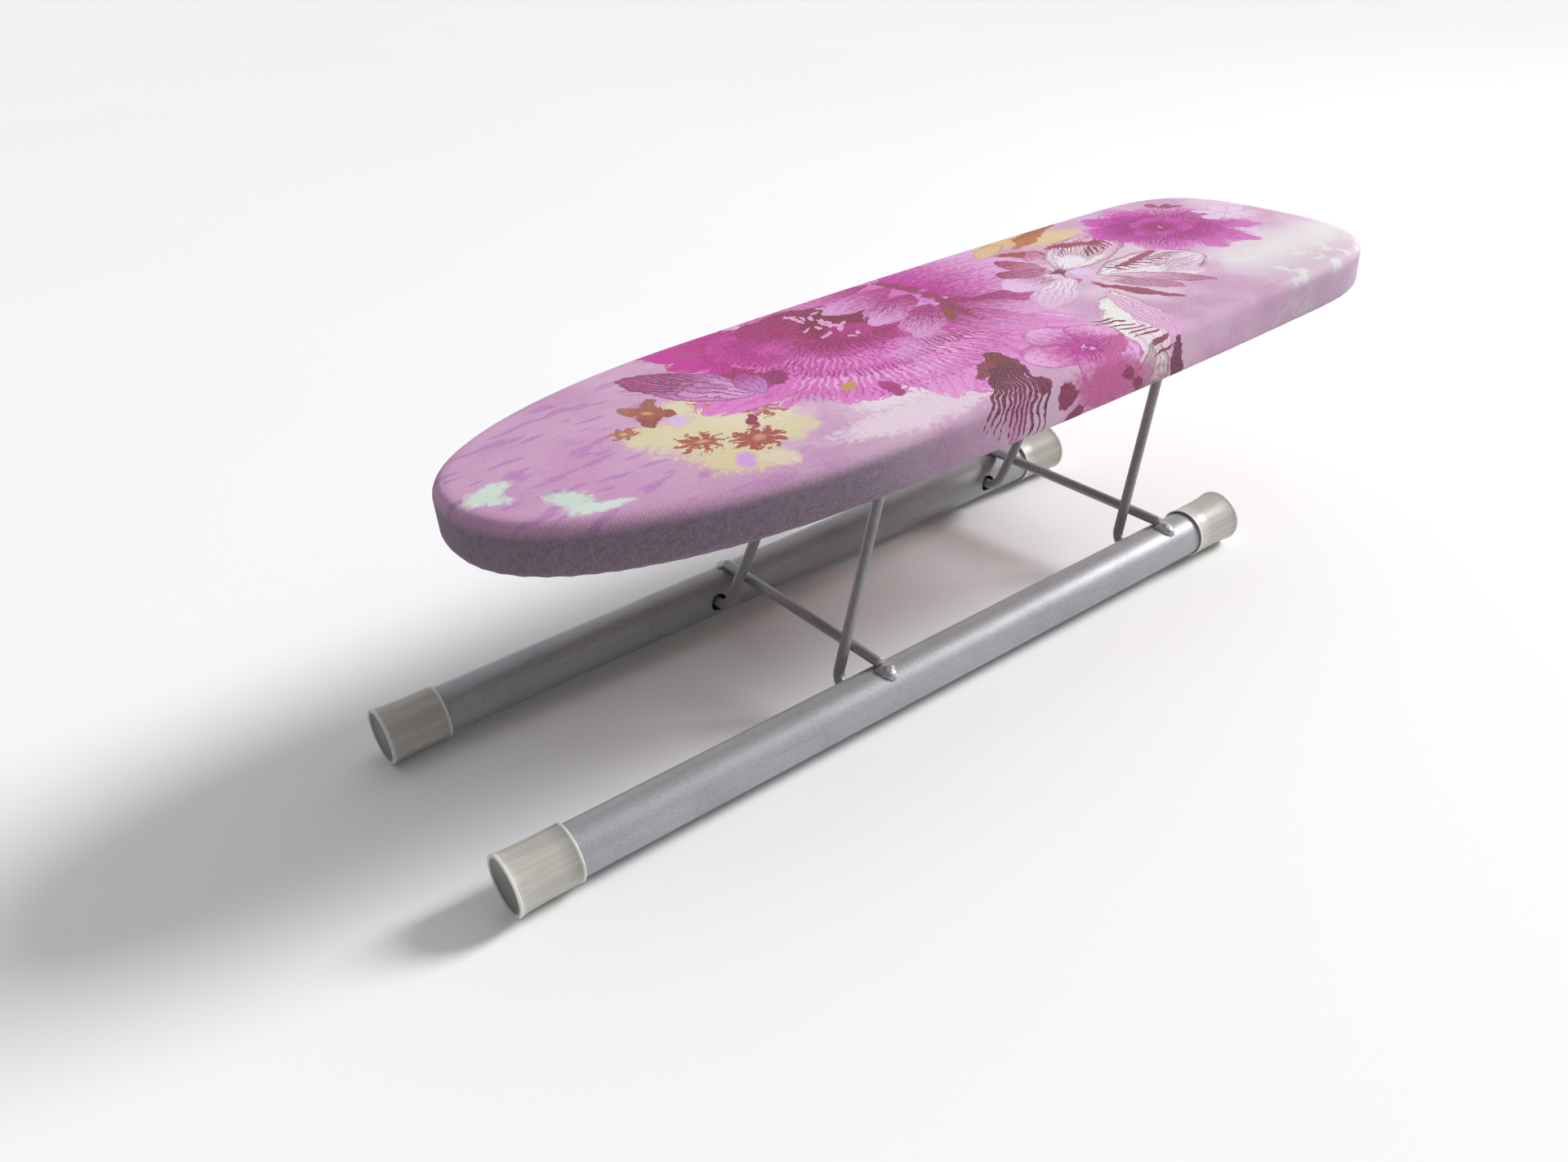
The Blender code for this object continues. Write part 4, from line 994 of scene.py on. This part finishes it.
def pad_foam():
    """Polyurethane foam, blown open-celled and cut to the board: cream, dull, full of small cells."""
    material, tree, shader = start_material("open_cell_foam", {"Roughness": 0.95})
    cells = add_node(tree, "TexVoronoi", {"Vector": object_place(tree), "Scale": 1 / (1.5 * MM)})
    colour = add_node(tree, "Mix", {0: cells, 6: linear("C9B878"), 7: linear("F0E6C0")}, data_type="RGBA")
    bump = add_node(tree, "Bump", {"Height": cells, "Distance": 0.4 * MM})
    wire_up(tree, shader, {"Base Color": colour, "Normal": bump})
    return material


# ---------------------------------------------------------------- caps, welds, screws


def make_cap(end, side):
    """A moulded cup over a tube's end, with a rim at its mouth and a rounded, dished end."""
    low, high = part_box(f"end_cap_{end}_{side}")
    length, radius = high.x - low.x, (high.y - low.y) / 2 / math.cos(math.pi / 32)
    depth = length - CAP_END_WALL
    waist = radius - 0.9 * MM
    profile = [(depth, 0), (depth, CAP_BORE - 1 * MM), (depth - 1 * MM, CAP_BORE), (0.3 * MM, CAP_BORE)]
    profile += [(0, CAP_BORE + 0.25 * MM), (0, waist - 0.1 * MM), (0.25 * MM, waist + 0.15 * MM)]
    profile += [(0.8 * MM, waist + 0.15 * MM), (1.1 * MM, waist - 0.05 * MM), (length * 0.3, waist)]
    profile += [(length * 0.55, waist + 0.02 * MM), (length * 0.75, waist + 0.2 * MM)]
    profile += [(length * 0.87, waist + 0.45 * MM), (length - 1.9 * MM, radius - 0.25 * MM)]
    profile += [(length - 1.3 * MM, radius - 0.05 * MM), (length - 0.6 * MM, radius)]
    profile += [(length - 0.2 * MM, radius - 0.1 * MM), (length, radius - 0.4 * MM)]
    profile += [(length, radius - 0.9 * MM), (length - 0.3 * MM, radius - 1.4 * MM)]
    profile += [(length - 0.8 * MM, radius - 3 * MM), (length - 1.2 * MM, 5 * MM), (length - 1.25 * MM, 0)]
    bm = spun(profile, 72)
    facing = 1 if end == "rear" else -1
    mouth = low.x if end == "rear" else high.x
    place = Matrix.Translation((mouth, (low.y + high.y) / 2, (low.z + high.z) / 2))
    bm.transform(place @ Matrix.Scale(facing, 4, (1, 0, 0)))
    bmesh.ops.recalc_face_normals(bm, faces=bm.faces)
    cap = new_piece(f"cap_{end}_{side}", bm)
    keep_edges_crisp(cap, 38)
    return cap


# Degrees down the tube, millimetres along it, and the three half sizes of each drop of weld.
WELD_DROPS = (
    (15, 0, 3.7, 4.4, 2.1),
    (8, -2.3, 2.2, 3.0, 1.6),
    (9, 2.2, 2.3, 3.0, 1.7),
    (30, 0.4, 2.4, 2.6, 1.3),
)


def make_weld(end, side, sign):
    """A small rippled nugget of weld where a rod's end sits on a tube."""
    tube_low, tube_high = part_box(f"base_tube_{side}")
    rod_low, rod_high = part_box(f"cross_rod_{end}")
    axis = (tube_low + tube_high) / 2
    axis.x = (rod_low.x + rod_high.x) / 2
    bm = bmesh.new()
    for down, along, *size in WELD_DROPS:
        drop = bmesh.ops.create_icosphere(bm, subdivisions=4, radius=1)["verts"]
        place = Matrix.Translation(axis) @ Matrix.Rotation(-sign * math.radians(down), 4, "X")
        place = place @ Matrix.Translation((along * MM, 0, TUBE_RADIUS))
        place = place @ Matrix.Diagonal((*[half * MM for half in size], 1))
        for vert in drop:
            vert.co = place @ (vert.co * (1 + 0.1 * noise.noise(vert.co * 2.6 + Vector((down, along, 0)))))
    lump = new_piece(f"weld_{end}_{side}", bm)
    fuse = lump.modifiers.new("fuse", "REMESH")
    fuse.mode = "VOXEL"
    fuse.voxel_size = 0.3 * MM
    melt = lump.modifiers.new("melt", "SMOOTH")
    melt.factor = 0.5
    melt.iterations = 6
    return lump


def foot_place(end):
    """The middle of a leg's pivot: its x and z."""
    low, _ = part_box(f"leg_{end}")
    return low.x + WIRE_RADIUS, low.z + WIRE_RADIUS


def make_tube(side, sign):
    """A length of seamed steel tube with a drilled hole for each leg's foot in its inner side."""
    low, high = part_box(f"base_tube_{side}")
    middle = (low + high) / 2
    half = (high.x - low.x) / 2
    bore = TUBE_RADIUS - TUBE_WALL
    profile = [(-half, TUBE_RADIUS), (half, TUBE_RADIUS), (half, bore), (-half, bore)]
    bm = spun(profile, 96, close_loop=True)
    bm.transform(Matrix.Translation(middle))
    tube = new_piece(f"tube_{side}", bm)
    drills = []
    for end in ("front", "rear"):
        x, z = foot_place(end)
        bm = bmesh.new()
        place = Matrix.Translation((x, middle.y - sign * TUBE_RADIUS, z))
        place = place @ Matrix.Rotation(math.pi / 2, 4, "X")
        sizes = {"radius1": HOLE_RADIUS, "radius2": HOLE_RADIUS, "depth": TUBE_RADIUS}
        bmesh.ops.create_cone(bm, segments=48, cap_ends=True, matrix=place, **sizes)
        drills.append(new_piece(f"drill_{end}_{side}", bm))
        hole = tube.modifiers.new(f"hole_{end}", "BOOLEAN")
        hole.object = drills[-1]
    apply_modifiers(tube)
    for drill in drills:
        bpy.data.objects.remove(drill)
    keep_edges_crisp(tube, 40)
    return tube


def make_rod(end):
    """A straight wire across both tubes, its cut ends a little rounded."""
    low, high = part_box(f"cross_rod_{end}")
    half = (high.y - low.y) / 2
    profile = [(-half, 0), (-half, 1.9 * MM), (-half + 0.6 * MM, WIRE_RADIUS)]
    profile += [(half - 0.6 * MM, WIRE_RADIUS), (half, 1.9 * MM), (half, 0)]
    bm = spun(profile, 40)
    place = Matrix.Translation(((low.x + high.x) / 2, (low.y + high.y) / 2, high.z - WIRE_RADIUS))
    bm.transform(place @ Matrix.Rotation(math.pi / 2, 4, "Z"))
    bmesh.ops.recalc_face_normals(bm, faces=bm.faces)
    rod = new_piece(f"rod_{end}", bm)
    keep_edges_crisp(rod, 50)
    return rod


def bent_path(corners, radii, steps):
    """The middle line of a bent wire: straight runs joined by arcs."""
    points = [corners[0]]
    for before, corner, after, radius in zip(corners, corners[1:], corners[2:], radii):
        back, onward = (before - corner).normalized(), (after - corner).normalized()
        half_angle = back.angle(onward) / 2
        centre = corner + (back + onward).normalized() * radius / math.sin(half_angle)
        start = corner + back * radius / math.tan(half_angle) - centre
        axis = back.cross(onward).normalized()
        sweep = math.pi - 2 * half_angle
        turns = [Matrix.Rotation(-sweep * step / steps, 3, axis) for step in range(steps + 1)]
        points += [centre + turn @ start for turn in turns]
    return points + [corners[-1]]


def make_leg(end):
    """One wire bent to a U: feet turned outwards into the tubes, a bar across the top."""
    low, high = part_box(f"leg_{end}")
    foot_x, foot_z = foot_place(end)
    bar_x, bar_z = high.x - WIRE_RADIUS, high.z - WIRE_RADIUS
    half = [(foot_x, high.y, foot_z), (foot_x, LEG_FOOT_HALF_SPAN, foot_z), (bar_x, LEG_TOP_HALF_SPAN, bar_z)]
    corners = [Vector((x, -y, z)) for x, y, z in half] + [Vector(spot) for spot in half[::-1]]
    points = bent_path(corners, (LEG_FOOT_BEND, LEG_TOP_BEND, LEG_TOP_BEND, LEG_FOOT_BEND), 14)
    curve = bpy.data.curves.new(f"bent_wire_{end}", "CURVE")
    curve.dimensions = "3D"
    curve.bevel_depth = WIRE_RADIUS
    curve.bevel_resolution = 8
    curve.use_fill_caps = True
    line = curve.splines.new("POLY")
    line.points.add(len(points) - 1)
    for spot, point in zip(line.points, points):
        spot.co = (*point, 1)
    wire = bpy.data.objects.new(f"bent_wire_{end}", curve)
    bpy.context.scene.collection.objects.link(wire)
    mesh = finished_mesh(wire)
    bpy.data.objects.remove(wire)
    mesh.shade_smooth()
    leg = bpy.data.objects.new(f"wire_leg_{end}", mesh)
    bpy.context.scene.collection.objects.link(leg)
    keep_edges_crisp(leg, 50)
    return leg


def make_screw_mesh():
    """A pan-head screw with a cross recess, pointing up, its head's underside at the origin."""
    head = [(-SCREW_HEAD, 0), (-1.66 * MM, 1.0 * MM), (-1.4 * MM, 2.0 * MM)]
    head += [(-0.9 * MM, 2.6 * MM), (0, 2.7 * MM)]
    shank = [(0, 1.4 * MM), (6.5 * MM, 1.4 * MM), (8 * MM, 0)]
    bm = spun(head + shank, 40)
    bm.transform(Matrix.Rotation(-math.pi / 2, 4, "Y"))
    bmesh.ops.recalc_face_normals(bm, faces=bm.faces)
    screw = new_piece("screw_blank", bm)
    cutters = []
    for number, turn in enumerate((math.radians(20), math.radians(110))):
        bm = bmesh.new()
        slot = Matrix.Diagonal((2.9 * MM, 0.62 * MM, 1.9 * MM, 1))
        place = Matrix.Rotation(turn, 4, "Z") @ Matrix.Translation((0, 0, -1.75 * MM))
        bmesh.ops.create_cube(bm, size=1, matrix=place @ slot)
        cutter = new_piece(f"slot_{number}", bm)
        cutters.append(cutter)
        cut = screw.modifiers.new(f"slot_{number}", "BOOLEAN")
        cut.object = cutter
    mesh = finished_mesh(screw)
    for spare in (screw, *cutters):
        bpy.data.objects.remove(spare)
    return mesh


def finished_mesh(piece):
    """The piece's mesh with its modifiers applied."""
    bpy.context.view_layer.update()
    graph = bpy.context.evaluated_depsgraph_get()
    return bpy.data.meshes.new_from_object(piece.evaluated_get(graph))


def apply_modifiers(piece):
    """Bakes a piece's modifiers into its mesh."""
    mesh = finished_mesh(piece)
    piece.modifiers.clear()
    piece.data = mesh
    mesh.shade_smooth()


# ---------------------------------------------------------------- assembly


def dress(piece, material, body, slot_name, *replaced):
    """Gives a new piece its material and body; the slot name is not used."""
    piece.data.materials.clear()
    piece.data.materials.append(material)
    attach(piece, body)
    if replaced:
        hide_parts(*replaced)


def recolour(node, material):
    """Puts a finish on a CAD node as it is."""
    nodes[node].data.materials.clear()
    nodes[node].data.materials.append(material)


def build():
    add_camera()
    add_studio()
    tube_paint = silver_enamel("silver_enamel_tube", "A2A4A7", "96989C", 0.3, 0.46, 40)
    wire_paint = silver_enamel("silver_enamel_wire", "9C9CA0", "8E8D91", 0.2, 0.42, 6)
    weld_paint = silver_enamel("silver_enamel_weld", "B4B4B5", "9C9C9E", 0.6, 0.28, 3)
    front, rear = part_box("end_cap_front_right"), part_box("end_cap_rear_right")
    axis = (0, (front[0].y + front[1].y) / 2, (front[0].z + front[1].z) / 2)
    plastic = cap_plastic((front[0].x + rear[1].x) / 2, (rear[1].x - front[0].x) / 2, axis)
    zinc, board, foam = zinc_plate(), fibreboard(), pad_foam()
    cover = make_cover()
    dress(cover, cotton_material(), "board", "printed_cotton", "cover", "hem_elastic")
    sides = (("left", -1), ("right", 1))
    for side, sign in sides:
        dress(make_tube(side, sign), tube_paint, "base", "tube_paint", f"base_tube_{side}")
        for end in ("front", "rear"):
            dress(make_cap(end, side), plastic, "base", "cap_plastic", f"end_cap_{end}_{side}")
            weld = make_weld(end, side, sign)
            apply_modifiers(weld)
            dress(weld, weld_paint, "base", "wire_paint", f"weld_bead_{end}_{side}")
    for end in ("front", "rear"):
        dress(make_leg(end), wire_paint, f"{end}_leg", "wire_paint", f"leg_{end}")
        dress(make_rod(end), wire_paint, "base", "wire_paint", f"cross_rod_{end}")
    recolour("deck", board)
    recolour("foam_pad", foam)
    screw_mesh = make_screw_mesh()
    for node in sorted(nodes):
        if node.startswith("saddle_clip"):
            recolour(node, zinc)
        if node.startswith("clip_screw"):
            low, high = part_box(node)
            mesh = screw_mesh.copy()
            seat = low.z + SCREW_HEAD
            mesh.transform(Matrix.Translation(((low.x + high.x) / 2, (low.y + high.y) / 2, seat)))
            screw = bpy.data.objects.new(node.replace("clip_screw", "screw"), mesh)
            bpy.context.scene.collection.objects.link(screw)
            dress(screw, zinc, "board", "zinc_plate", node)
            keep_edges_crisp(screw, 35)


build()
